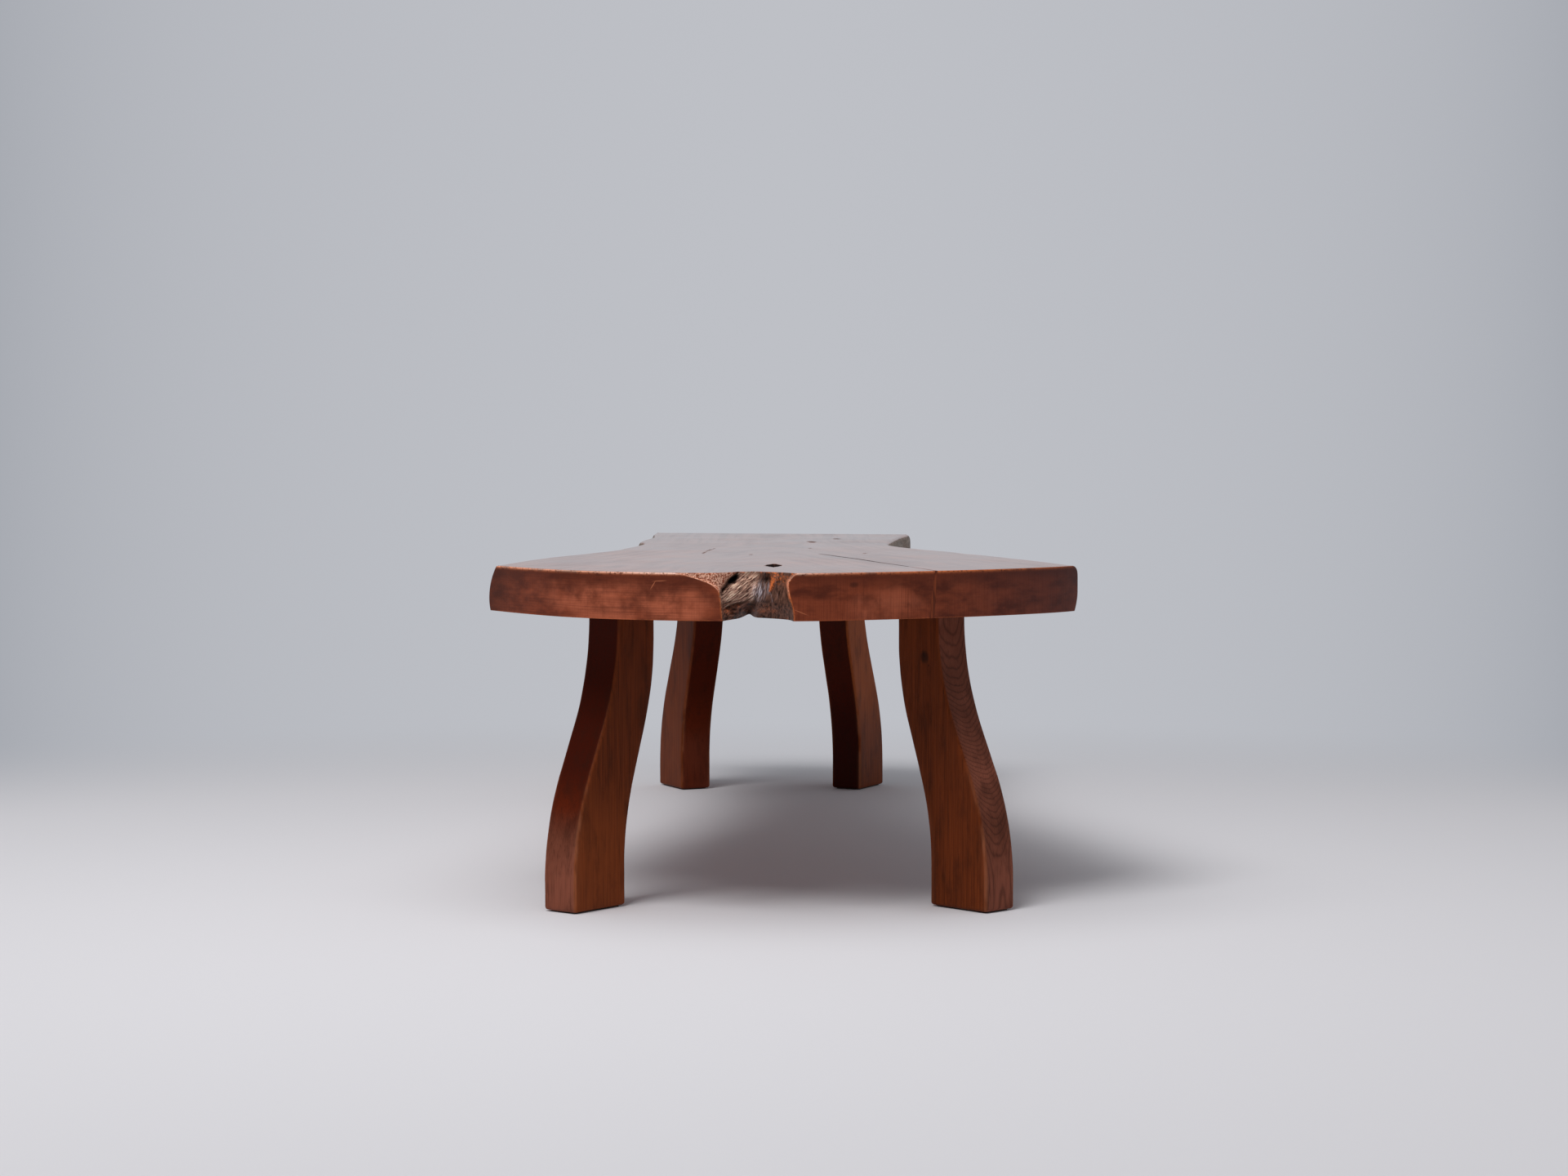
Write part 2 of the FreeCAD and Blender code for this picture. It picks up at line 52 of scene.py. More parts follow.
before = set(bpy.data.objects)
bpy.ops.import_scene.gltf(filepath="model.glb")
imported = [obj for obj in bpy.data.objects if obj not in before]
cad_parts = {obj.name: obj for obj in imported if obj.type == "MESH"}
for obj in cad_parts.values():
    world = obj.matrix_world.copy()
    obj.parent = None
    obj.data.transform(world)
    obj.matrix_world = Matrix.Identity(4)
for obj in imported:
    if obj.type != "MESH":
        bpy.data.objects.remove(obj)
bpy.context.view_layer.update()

MM = 0.001


def paint(red, green, blue):
    """A colour given in a screen's steps of 0 to 255, as the linear values that light needs."""
    steps = np.array([red, green, blue]) / 255
    return tuple(np.where(steps < 0.04045, steps / 12.92, ((steps + 0.055) / 1.055) ** 2.4).tolist())


# The slab's levels, from the frame.
SLAB_LOW, SLAB_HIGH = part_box("slab_top")
TOP_Z = SLAB_HIGH[2]
UNDER_Z = SLAB_LOW[2]
SLAB_THICKNESS = TOP_Z - UNDER_Z

# The saw cuts in plan, in millimetres, as poles of smooth curves.
LEFT_SAW_CUT = (
    (-357, -527), (-350, -536), (-330, -571), (-262, -676), (-185, -735), (-110, -762), (-58, -767),
)
RIGHT_SAW_CUT = (
    (-2, -769.5), (9, -770), (42, -768), (125, -732), (212, -684), (294, -621), (340, -570),
    (352, -548), (357, -539),
)

# The live edges in plan at the belly, from each near corner to the far saw cut, in millimetres.
RIGHT_LIVE_EDGE = (
    (352.5, -548), (347, -520), (338, -484), (326, -430), (311, -372), (297, -322), (280, -262),
    (266, -208), (246, -166), (239, -116), (222, -66), (203, -22), (188, 32), (172, 92),
    (157, 165), (155, 240), (166, 360), (178, 480), (190, 580), (200, 640), (203, 690),
)
LEFT_LIVE_EDGE = (
    (-350.4, -537), (-343, -500), (-336, -450), (-326, -385), (-313, -325), (-298, -260),
    (-280, -205), (-265, -145), (-250, -90), (-234, -30), (-230, 40), (-218, 120), (-212, 200),
    (-210, 272), (-221, 305), (-220, 370), (-216, 450), (-210, 520), (-209, 600), (-217, 690),
    (-214, 770),
)

# How far each side draws in, in millimetres, from its belly to the upper face and to the
# underside. The belly's depth is a share of the thickness, and the power shapes the rounding.
# Shallow waves and finer knobs, as deep as this, cut into the live edges.
LEFT_SIDE = {"top": 10.5, "under": 1.8, "belly_share": 0.74, "power": 2.1}
RIGHT_SIDE = {"top": 5.5, "under": 4.2, "belly_share": 0.55, "power": 8}
WAVE_DEPTH = 1.3
KNOB_DEPTH = 0.5

# The hollow's mouth on the saw cuts: share of the thickness down, then place across in millimetres.
MOUTH_LEFT = (
    (0, -121.7), (0.04, -110.7), (0.12, -96), (0.20, -82.3), (0.30, -73.5), (0.39, -70.3),
    (0.64, -69.4), (1, -67.6),
)
MOUTH_RIGHT = (
    (0, 17), (0.05, 13.5), (0.12, 10.5), (0.21, 6.8), (0.32, 7.3), (0.48, 8.6), (0.64, 11.4),
    (0.83, 13.7), (1, 13.7),
)

# How deep the hollow is at the upper face, half way down and at the underside: place across,
# then recess, both in millimetres. Its columns follow the profile at a depth share, plus a share
# of the way across. The chord between the saw cuts is where its recess starts.
TOP_RECESS = (
    (-122, 0), (-105, 1), (-90, 2.5), (-78, 5), (-66, 14), (-54, 31), (-42, 43), (-31, 49),
    (-22, 40), (-12, 34), (-3, 27), (6, 17), (12, 7), (17, 0),
)
MIDDLE_RECESS = (
    (-122, 0), (-100, 3), (-80, 8), (-71, 12), (-64, 22), (-56, 30), (-48, 36), (-40, 42),
    (-34, 46), (-28, 40), (-18, 38), (-8, 34), (0, 27), (6, 15), (10, 5), (14, 0),
)
UNDER_RECESS = (
    (-68, 0), (-66, 8), (-60, 20), (-54, 38), (-48, 62), (-42, 116), (-38, 150), (-35, 114),
    (-31, 72), (-22, 67), (-10, 56), (0, 44), (8, 30), (13, 12), (14, 0),
)
HOLLOW_PROFILE_SHARE = 0.8
HOLLOW_ACROSS_SHARE = 1.2
HOLLOW_CHORD = ((-70, -765), (10, -770))

# Soft ovals in the hollow, in millimetres and degrees: place across, below the upper face, two
# half lengths and turn.
HOLLOW_SPOTS = {
    "cavity": ((-55.5, -8.5), (6.5, 3.3), 27),
    "pit": ((-17.5, -8.5), (3.6, 4.6), -25),
    "lump": ((-46, -19), (15, 12), 25),
    "glaze": ((-27, -23), (6, 7.5), -14),
    "ledge_lip": ((-51, -39.5), (4.5, 2), 0),
    "left_lip": ((-62, -44), (3.5, 3.5), 30),
    "right_lip": ((-24, -46), (10, 3), 8),
}

# Soft lines in the hollow, in millimetres: their points across and below the upper face, and
# their half widths there. The ledge is a step along a line of its own.
HOLLOW_LINES = {
    "gully": (((-50, -1), (-55, -7), (-62, -13), (-68, -20), (-70, -27)), (2.0, 3.4, 2.6, 2.0, 1.2)),
    "streak": (((-10, -6), (-10.5, -12), (-12.5, -18), (-14, -22)), (2.6, 2.4, 1.8, 1.0)),
    "valley": (((-30, -28), (-33, -37), (-38, -46), (-39, -55)), (1.5, 3, 3.5, 3)),
}
LEDGE_LINE = ((-66, -40), (-63.5, -38.5), (-58, -36), (-51, -34.5), (-44, -33), (-38, -29.5))

# How far each form pushes the hollow's surface in, in millimetres, and how dark it is painted:
# painted shade in its recesses and under its ledge.
HOLLOW_PUSHES = {
    "lump": -9, "gully": 10, "cavity": 9, "pit": 6, "streak": -2, "valley": 6, "step": 7, "lips": -4,
}
HOLLOW_SHADE_SHARES = {"cavity": 1.4, "gully": 0.45, "pit": 0.75, "shade": 0.6, "valley": 0.5}

# Where the hollow's parts pass into each other, in millimetres: across at its left and right parts
# and at both ends of the ledge and of its crest, below the ledge's line for the step, its shade and
# its foot, and from the hollow's rim inwards. The crest's width is that of a bell.
LEFT_PART = (-32, -24)
RIGHT_PART = (-24, -14)
LEDGE_START = (-66, -62)
LEDGE_END = (-40, -36)
LEDGE_STEP = (-0.8, 0.8)
SHADE_REACH = (2, 6)
STEP_REACH = (5, 16)
CREST_START = (-67, -64)
CREST_END = (-39, -36)
CREST_WIDTH = 0.7
RIM_REACH = (0, 4)

# How deep each of the hollow's grains is, in millimetres, and how far down, from the upper face,
# the lower part's rougher bark and its shelves start.
GRAIN_DEPTHS = {
    "ribs": 0.7, "rough": 0.9, "lower_rough": 1.2, "shelves": 1.6, "flutes": 0.6, "fan": 0.45,
    "right_rough": 0.4, "fine": 0.3,
}
ROUGH_HEIGHTS = (-30, -40)
SHELF_HEIGHTS = (-28, -34)

# Where the hollow's finishes start and are full, in millimetres, across or from the upper face: the
# wane to the left of the gully, the ribs, which weaken at the top, the lumps, the worn corner at
# the upper right, and the right arris with its pale part.
WANE_REACH = (-1, 4)
WANE_HEIGHTS = (-31, -25)
RIB_HEIGHTS = (-37, -29)
RIB_TOP_HEIGHTS = (-7, -1.5)
LUMP_HEIGHTS = (-32, -42)
CORNER_REACH = (-16, -2)
CORNER_HEIGHTS = (-17, -6)
ARRIS_HEIGHTS = (-36, -26)
PALE_HEIGHTS = (-30, -20)

# The slope of the hollow's ribs in degrees, and how wide the worn and the pale arrises are, in
# millimetres: at the hollow's right by height, at its left, below both faces and at the saw cuts'
# mouths, of which the left one has a width low down and what it gains near the upper face.
RIB_SLOPE = 40
RIGHT_ARRIS = ((-54, 0.7), (-34, 0.9), (-24, 2.8), (-8, 3.4), (0, 2.2))
LEFT_ARRIS_WIDTH = 0.9
HOLLOW_RIM_WEAR = 1.3
TOP_WEAR_REACH = 2.3
PALE_ARRIS_REACH = 2.2
UNDER_WEAR_REACH = 0.8
LEFT_MOUTH_WEAR = (1.1, 0.7)
LEFT_MOUTH_SHIFT = 0.8
LEFT_MOUTH_HEIGHTS = (26, 14)
RIGHT_MOUTH_WEAR = 0.7

# Columns of the slab's wall along each stretch, and rows down it.
CUT_COLUMNS = 76
HOLLOW_COLUMNS = 330
LIVE_COLUMNS = 160
FAR_COLUMNS = 50
SLOT_COLUMNS = 14
ROW_STEP = 0.75 * MM
CAP_SPACING = 22 * MM
ARRIS_ROWS = (0, 0.3, 0.8, 1.5, 2.4, 3.5)

# How far each stretch's upper arris is worn round, the share of that at the lower arris, and how
# far each upright corner where a stretch starts is, in millimetres.
ARRIS_RADII = {
    "left_face": 1.8,
    "hollow": 1.0,
    "right_face": 1.5,
    "slot": 0.1,
    "last_face": 1.5,
    "right_live": 3.2,
    "far": 1.6,
    "left_live": 3.2,
}
LOWER_ARRIS_SHARE = 0.15
ARRIS_WAVER = 0.35
CORNER_RADII = {
    "left_face": 3,
    "hollow": 2.5,
    "right_face": 3,
    "right_live": 3.5,
    "far": 4,
    "left_live": 4,
}
CORNER_PULL = 0.45

# The outward directions along the wall are read at even steps, in millimetres, and averaged over
# this many of them.
OUTWARD_STEP = 0.5
OUTWARD_SPREAD = 19

# How strongly the saw cuts' arrises are worn to bare wood, by the place across in millimetres.
TOP_WEAR = {
    "left_face": ((-351, 0.8), (-325, 1.2), (-290, 1.0), (-200, 0.9), (-150, 1.2), (-60, 1.2)),
    "right_face": ((0, 1.0), (40, 0.75), (90, 0.7), (180, 0.7)),
    "last_face": ((170, 0.75), (240, 0.6), (300, 0.45), (352, 0.2)),
}

# How pale the upper arris of the saw cuts is, by the place across in millimetres.
PALE_ARRIS = (
    (-352, 0.4), (-300, 0.35), (-210, 0.5), (-150, 1.0), (-70, 1.0), (0, 0.8), (30, 0.8), (60, 0),
    (352, 0),
)

# The masks that the meshes of the slab and the legs carry, one for each of their finishes. The
# slab's dark mask is partly painted shade in the hollow, and the legs' rosy and pale ones are
# partly painted light and shade.
SLAB_MASKS = ("bark", "ribs", "glaze", "lumps", "wane", "worn", "pale", "ink", "live")
LEG_MASKS = ("figure", "worn", "rose", "light")

# The strip that is let into the crack's mouth, in millimetres and degrees: its centre on the saw
# cut and its width there, by depth share, its length and how wide its inner end is.
STRIP_CENTRE = ((0, 176), (0.5, 173.1), (1, 171))
STRIP_WIDTH = ((0, 2.6), (0.25, 4.2), (0.5, 5.4), (1, 5))
STRIP_LENGTH = 118
STRIP_TIP_WIDTH = 1.6
STRIP_GAP = 0.12
STRIP_END_GAP = 1
STRIP_ROWS = 28
STRIP_FACE_POINTS = 6
STRIP_SIDE_POINTS = 12
CRACK_HEADING = math.radians(102.3)
CRACK_AHEAD = np.array([math.cos(CRACK_HEADING), math.sin(CRACK_HEADING)])
CRACK_ASIDE = np.array([CRACK_AHEAD[1], -CRACK_AHEAD[0]])

# The open crack beyond the strip, in millimetres: its middle line, each with its width.
CRACK_LINE = (
    (149.5, -583, 1.2), (142, -551, 1.4), (133, -512, 1.7), (121, -467, 1.5), (111, -420, 2.6),
    (103, -382, 2.2), (94, -343, 3.2), (85, -308, 2.4), (76, -275, 3.0), (68, -243, 2.2),
    (60, -210, 2.6), (53, -184, 1.5), (48, -165, 0.4),
)
CRACK_POINTS = 120
CRACK_WAVER = 0.45
CRACK_LEAST_HALF = 0.15
CRACK_DEPTH = 12 * MM
CRACK_LIP = 1.0
CRACK_LIP_DROP = 0.2 * MM

# The knot hole: its centre, its half width and half length, and its depth, in millimetres.
KNOT_CENTRE = (-10, -549)
KNOT_HALF_WIDTH = 9
KNOT_HALF_LENGTH = 51
KNOT_DEPTH = 30 * MM
KNOT_DRAFT = 0.45
KNOT_POINTS = 72
KNOT_POWERS = (1.6, 1.25)
KNOT_WAVER = 0.34
KNOT_RIPPLE = 0.05
KNOT_LIP = 1.6
KNOT_LIP_DROP = 0.5 * MM

# Each leg: its heading from +X in degrees, how strongly its curved faces show their rings, how worn
# its upright arrises are, and how rosy its curved faces and how pale its wide faces are, each at
# the shoulder and at the foot. These two are partly the leg's own tone and partly painted light and
# shade: darker in the slab's shadow, lighter where the lamp reaches.
LEGS = {
    "near_left": {
        "heading": -128.1, "ring_share": 0.1, "wear_share": 0.25,
        "rose_and_lit_shares": (0.15, 1.0), "pale_and_lit_shares": (0.0, 0.3),
    },
    "near_right": {
        "heading": -46.1, "ring_share": 0.9, "wear_share": 0.28,
        "rose_and_lit_shares": (1.1, 0.95), "pale_and_lit_shares": (0.0, 0.0),
    },
    "far_left": {
        "heading": 115.6, "ring_share": 0.15, "wear_share": 0.3,
        "rose_and_lit_shares": (0.3, 0.65), "pale_and_lit_shares": (0.0, 0.05),
    },
    "far_right": {
        "heading": 64.1, "ring_share": 0.3, "wear_share": 0.3,
        "rose_and_lit_shares": (0.25, 0.0), "pale_and_lit_shares": (0.66, 0.15),
    },
}

# The legs' own sizes, in millimetres. The rows of a leg are close at its sole, and its faces waver
# by a little. The tenon's foot bites into the leg.
LEG_STOCK = 49.5
FOOT_WIDTH = 89.5
LEG_TOP_WIDTH = 65
FOOT_REACH = 66.4
SLANT_LENGTH = 60
OUTER_STRAIGHTS = (32, 6)
INNER_STRAIGHTS = (45, 30)
LEG_ARRIS = 3.8
TENON_WIDTH = 42
TENON_THICKNESS = 25
TENON_LENGTH = 38
KERF_DEPTH = 30
KERF_WIDTHS = (1.5, 4.5)
TENON_BITE = 3
MORTISE_CLEARANCE = 0.2
MORTISE_END_GAP = 2
MORTISE_SIDE_POINTS = 4
SOLE_ROWS = (0, 0.25, 0.7, 1.3, 2.1, 3.0)
LEG_ROWS = 110
LEG_ROW_START = 5
LEG_WAVER = 0.25
ARC_POINTS = 6
SIDE_POINTS = 12
TENON_QUADS = ((0, 1, 2, 3), (0, 3, 4, 7), (4, 5, 6, 7))
# Heights in millimetres between which a leg's rosy and pale shares pass from the foot's to the
# shoulder's, with their painted light and shade.
LOW_PART = (172, 66)
WORN_PART = (190, 90)

# The slab's rings, in metres: the pith's place, where it forks, how fast its limbs part, how widely
# the two limbs' rings blend, how far both the pith and the rings sway, and the step between rings.
PITH_X = -0.02
PITH_Z = 0.315
FORK_Y = 0.28
LIMB_SPREAD = 0.21
LIMB_BLEND = 0.05
PITH_SWAY = 0.05
RING_SWAY = 0.02
RING_STEP = 0.0062

# The legs' rings, in metres: the step between them, how far they sway and ripple, and how strongly
# they curve away from the plank's middle plane.
LEG_RING_STEP = 0.0023
LEG_RING_SWAY = 0.022
LEG_RING_RIPPLE = 0.0028
LEG_RING_CURVE = 9.0

# Where the slab's colours pass into each other, in metres: across at the right limb, the painted
# shade at its right end and at its left end and the sheaf of bark, below the upper face for the
# shade of its arris, and along the slab behind its near end.
RIGHT_LIMB = (-0.05, 0.0)
RIGHT_END_SHADE = (0.15, 0.34)
LEFT_END_SHADE = (-0.29, -0.345)
SHEAF_START = (-0.038, -0.028)
ARRIS_SHADE = (0.0, 0.024)
NEAR_END_Y = -0.5
NEAR_FADE = (0.0, 0.05)

# How deep the finishes' reliefs are, in metres, and how far dark marks waver.
SLAB_RELIEF = 0.8 * MM
LEG_RELIEF = 0.25 * MM
STRIP_RELIEF = 0.3 * MM
FELT_RELIEF = 0.4 * MM
TOP_MARK_WAVER = 0.016
KNOT_MARK_WAVER = 0.006

# The noises of the slab's and the legs' finishes: the scale, or how much each axis is stretched,
# the detail, the roughness, and for ribs, flutes and layers of bark how far they lean in degrees.
SLAB_NOISES = {
    "blotch": (34.0, 4, 0.6),
    "cloud": (7.0, 3),
    "fibre": ((900, 90, 900), 2),
    "figure": ((16, 6, 16), 4, 0.6),
    "saw_lines": ((1300, 1300, 16), 3),
    "level_lines": ((13, 13, 800), 3),
    "patch": ((22, 22, 60), 4, 0.6),
    "ridged": ((120, 34, 190), 5, 0.6),
    "strata": ((90, 90, 430), 4, 0.65, 17),
    "sheaf": ((420, 200, 90), 4, 0.65, -14),
    "ribbed": ((110, 110, 780), 3, 0.6, 38),
    "fluted": ((900, 400, 60), 2, 0.5, -14),
    "net": (520.0, 3),
    "bright": (420.0, 3),
    "sway": ((5, 2.2, 5), 2),
}
LEG_NOISES = {
    "sway": ((9, 9, 4), 2),
    "ripple": ((60, 60, 22), 2),
    "fibre": ((1000, 1000, 22), 2),
    "streak": ((420, 420, 9), 3),
    "cloud": (16.0, 3),
    "smudge": ((46, 46, 15), 5, 0.65),
}

# Where a leg's wide faces start, by the distance from its middle plane in metres.
WIDE_FACE = (0.0208, 0.0232)

# Knots in the near right leg's wide face, in its plank's own millimetres.
LEG_KNOTS = ((12, 294, 9, 10, 0), (12, 296, 2.5, 4, 20), (18, 284, 1.5, 1.5, 0))

# Dark marks on the upper face, in millimetres and degrees: centre, two half lengths, turn and
# strength.
TOP_MARKS = (
    (-98, -20, 2.5, 90, -4, 0.5),
    (-104, -125, 2.5, 50, 0, 0.5),
    (42, 315, 9, 46, 3, 0.6),
    (82, 457, 8, 26, 0, 0.6),
    (110, -150, 4, 16, 0, 0.45),
    (38, 45, 4, 14, 0, 0.5),
    (-40, -195, 4, 18, 0, 0.45),
)

# Painted light on the saw cuts: soft pools of it, and of painted shade where the strength is
# below nil, in millimetres: place across, below the upper face, two half lengths and strength.
FACE_PAINTED_LIGHTS = (
    (-165, -38, 120, 34, 1.0),
    (-250, -26, 70, 22, 0.45),
    (-112, -38, 34, 24, 0.6),
    (117, -38, 52, 26, 0.7),
    (34, -24, 36, 28, -0.4),
)

# Scratches and dark marks on the near saw cut, in millimetres and degrees: place across, below the
# upper face, two half lengths and turn.
FACE_SCRATCHES = ((-145.5, -14.2, 0.7, 7, -32), (-138, -9.4, 10, 0.6, 3), (21, -44, 11, 0.5, -22))
FACE_MARKS = ((-157, -3, 1.2, 4, 15), (-209, -4, 6, 1, 0), (81, -14, 7, 4, 0), (161, -1, 2.5, 2.5, 0))

# The sockets of a colour mix for its share and its two colours.
MIX_INPUTS = (0, 6, 7)

# Colours as they look on a screen.
TOP_BROWN = paint(136, 74, 42)
TOP_RED = paint(160, 90, 52)
TOP_DARK = paint(84, 44, 28)
FACE_DARK = paint(84, 36, 22)
# Painted light on the saw cuts, together with their random blotches.
FACE_GLOW = paint(176, 94, 66)
# Painted shade at the saw cuts' right and left ends.
FACE_END_SHADE = paint(64, 44, 46)
FACE_SHADE_BROWN = paint(60, 22, 4)
SCRATCH = paint(206, 122, 84)
SIDE_DARK = paint(94, 78, 67)
SIDE_GREY = paint(158, 142, 128)
SIDE_BROWN = paint(128, 96, 74)
BARK_DARK = paint(40, 24, 19)
BARK_BROWN = paint(130, 90, 74)
BARK_RED = paint(196, 112, 76)
RIB_DARK = paint(74, 46, 38)
RIB_BROWN = paint(206, 160, 138)
RIB_PALE = paint(255, 230, 202)
# The glaze's colours, which also carry its painted sheen.
GLAZE_DARK = paint(96, 80, 82)
GLAZE_PALE = paint(244, 232, 238)
WORN_DARK = paint(112, 60, 34)
WORN_ORANGE = paint(226, 120, 64)
ARRIS_PALE = paint(255, 216, 196)
WANE_DARK = paint(158, 80, 52)
WANE_TAN = paint(255, 202, 174)
INK_AND_SHADE = paint(12, 9, 8)
WIDE_DARK = paint(80, 34, 13)
# The wide faces' paler colour: partly their own tone, partly painted light.
WIDE_PALE_LIT = paint(164, 84, 42)
# The curved faces' colours, dark to rosy: partly their own tone, partly painted shade under the slab
# and painted light.
ROUND_DARK = paint(56, 12, 3)
ROUND_RED = paint(90, 30, 9)
ROSE_DARK = paint(104, 56, 40)
ROSE_PALE = paint(134, 76, 58)
LEG_LINE = paint(44, 20, 12)
LEG_WORN = paint(190, 124, 92)
STRIP_BROWN = paint(126, 60, 34)
STRIP_DARK = paint(84, 38, 24)
FELT_DARK = paint(24, 22, 21)
FELT_GREY = paint(62, 58, 55)

# The studio, in metres: the backdrop's colours ahead, beside that and everywhere else, and how far
# across each reaches, its colours higher up at both flanks and behind the camera with their own
# reaches and heights, the ceiling, the floor's grey, its middle and where it fades into the
# backdrop, and the soft lights.
BACKDROP_MIDDLE = paint(190, 192, 198)
BACKDROP_SIDE = paint(155, 159, 167)
BACKDROP_PLAIN = paint(180, 182, 187)
BACKDROP_SPREAD = 0.27
PLAIN_SPREAD = (0.26, 0.5)
LEFT_FLANK = paint(60, 61, 64)
RIGHT_FLANK = paint(236, 237, 241)
FLANK_SPREAD = (0.4, 0.9)
BEHIND_GREY = paint(96, 97, 100)
BEHIND_SPREAD = (0.2, 0.8)
FLANK_HEIGHTS = (0.15, 0.26)
BACKDROP_HEIGHTS = (0.25, 0.6)
CEILING_GREY = paint(128, 130, 134)
FLOOR_GREY = paint(228, 226, 229)
FLOOR_CENTRE_Y = -1.0
FLOOR_FADE = (1.6, 2.9)
AHEAD_START = (-1.5, 0.0)
FLOOR_RADIUS = 120
FLOOR_SIDES = 96
KEY_PLACE = (-3.0, -5.1, 8.3)
OVERHEAD_PLACE = (-0.3, -0.77, 1.83)
LIGHT_TARGET = (0.0, -0.4, 0.0)
OVERHEAD_SIZE = 1.44
OVERHEAD_SHARE = 0.027

# The photograph's camera: its focal length and horizon in pixels of a 1920 by 1440 frame.
FRAME_WIDTH = 1920
FRAME_HEIGHT = 1440
FOCAL_PIXELS = 3813
HORIZON_ROW = 540
CAMERA_PLACE = (0.0022, -4.2535, 0.548)
SENSOR_WIDTH = 36


def smooth_step(low, high, value):
    """0 below the low value, 1 above the high one and an even S-curve between them."""
    share = np.clip((value - low) / (high - low), 0, 1)
    return share * share * (3 - 2 * share)


def bell(distance, width):
    """1 at nil, falling off as a bell whose half width is given."""
    return np.exp(-((distance / width) ** 2))


def arris_inset(radius, from_face):
    """How far a rounded arris lies in at a distance from the face beside it: a quarter circle."""
    return radius - np.sqrt(np.clip(radius**2 - np.clip(radius - from_face, 0, None) ** 2, 0, None))


def raised(plan, height):
    """Points in plan with their heights as a third coordinate."""
    return np.concatenate([plan, np.broadcast_to(height, (*plan.shape[:-1], 1))], axis=-1)


def spline_pulls(pole_count, places):
    """Each pole's pull at places from 0 to 1 along a clamped cubic B-spline with even knots, worked
    out degree by degree: a pull is the two of the degree below it, each times a straight ramp."""
    degree = min(3, pole_count - 1)
    inner = np.linspace(0, 1, pole_count - degree + 1)
    knots = np.concatenate([np.zeros(degree), inner, np.ones(degree)])
    places = np.clip(places, 0, 1 - 1e-9)
    pulls = [((low <= places) & (places < high)) * 1.0 for low, high in zip(knots, knots[1:])]
    for order in range(1, degree + 1):
        for index in range(len(knots) - 1 - order):
            rise = knots[index + order] - knots[index]
            fall = knots[index + order + 1] - knots[index + 1]
            up = (places - knots[index]) / rise * pulls[index] if rise else 0
            down = (knots[index + order + 1] - places) / fall * pulls[index + 1] if fall else 0
            pulls[index] = up + down
    return np.array(pulls[:pole_count])


def follow(poles, places):
    """Points at places from 0 to 1 along a B-spline. The poles may be many rows of poles."""
    poles = np.asarray(poles, float)
    return np.einsum("np,...nk->...pk", spline_pulls(poles.shape[-2], places), poles)


def read_table(table, at):
    """Reads a smooth curve, which has the table's pairs as its poles, at the given first values."""
    curve = follow(table, np.linspace(0, 1, 600))
    return np.interp(at, curve[:, 0], curve[:, 1])


def grain_noise(seed, *axes):
    """Smooth random values from 0 to 1 at places given by one to three coordinates: a lattice of
    seeded random numbers, blended by S-curves along each axis."""
    lattice = np.random.default_rng(seed).random((32,) * len(axes))
    axes = np.broadcast_arrays(*axes)
    floors = [np.floor(axis).astype(int) for axis in axes]
    parts = [smooth_step(0, 1, axis - floor) for axis, floor in zip(axes, floors)]
    total = np.zeros(axes[0].shape)
    for corner in np.ndindex(*(2,) * len(axes)):
        weight = 1.0
        index = []
        for step, floor, part in zip(corner, floors, parts):
            weight = weight * (part if step else 1 - part)
            index.append((floor + step) % 32)
        total = total + weight * lattice[tuple(index)]
    return total


def layered_noise(seed, *axes, layers=3):
    """Noise from -1 to 1, each layer twice as fine and half as strong as the one before."""
    total = 0
    reach = 0
    for layer in range(layers):
        strength = 0.5**layer
        finer = [axis * 2**layer for axis in axes]
        total = total + strength * (2 * grain_noise(seed + layer, *finer) - 1)
        reach += strength
    return total / reach


def crowded_ends(count):
    """Places from 0 to 1 that lie closer together towards both ends, by half a cosine wave."""
    return 0.5 - 0.5 * np.cos(np.linspace(0, math.pi, count))


def band(x, z, path, widths):
    """A soft mask along a bent line: 1 on it, falling off as a bell by the line's own width."""
    best = np.zeros(np.broadcast(x, z).shape)
    for (x0, z0), (x1, z1), w0, w1 in zip(path, path[1:], widths, widths[1:]):
        along_x = x1 - x0
        along_z = z1 - z0
        reach = along_x**2 + along_z**2
        share = np.clip(((x - x0) * along_x + (z - z0) * along_z) / reach, 0, 1)
        distance = np.hypot(x - x0 - share * along_x, z - z0 - share * along_z)
        best = np.maximum(best, bell(distance, w0 + share * (w1 - w0)))
    return best


def spot(x, z, centre, radii, turn):
    """A soft oval mask: 1 at its centre, falling off as a bell along its two radii."""
    cos = math.cos(math.radians(turn))
    sin = math.sin(math.radians(turn))
    across = (x - centre[0]) * cos + (z - centre[1]) * sin
    along = (z - centre[1]) * cos - (x - centre[0]) * sin
    return np.exp(-((across / radii[0]) ** 2) - (along / radii[1]) ** 2)


def make_piece(name, surface, material, slot, node, **vectors):
    """Puts a gathered surface into a mesh that rides on the table and stands for a node of the
    frame. Its masks and the given vectors are stored on its vertices."""
    mesh = bpy.data.meshes.new(name)
    mesh.from_pydata(np.concatenate(surface.vertices).tolist(), [], surface.faces)
    mesh.polygons.foreach_set("use_smooth", np.array(surface.smooth))
    for key, values in surface.gathered_masks().items():
        mesh.attributes.new(key, "FLOAT", "POINT").data.foreach_set("value", values)
    for key, values in vectors.items():
        mesh.attributes.new(key, "FLOAT_VECTOR", "POINT").data.foreach_set("vector", values.ravel())
    mesh.materials.append(material)
    mesh.update()
    piece = bpy.data.objects.new(name, mesh)
    bpy.context.scene.collection.objects.link(piece)
    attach(piece, "root")
    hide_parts(node)
    return piece


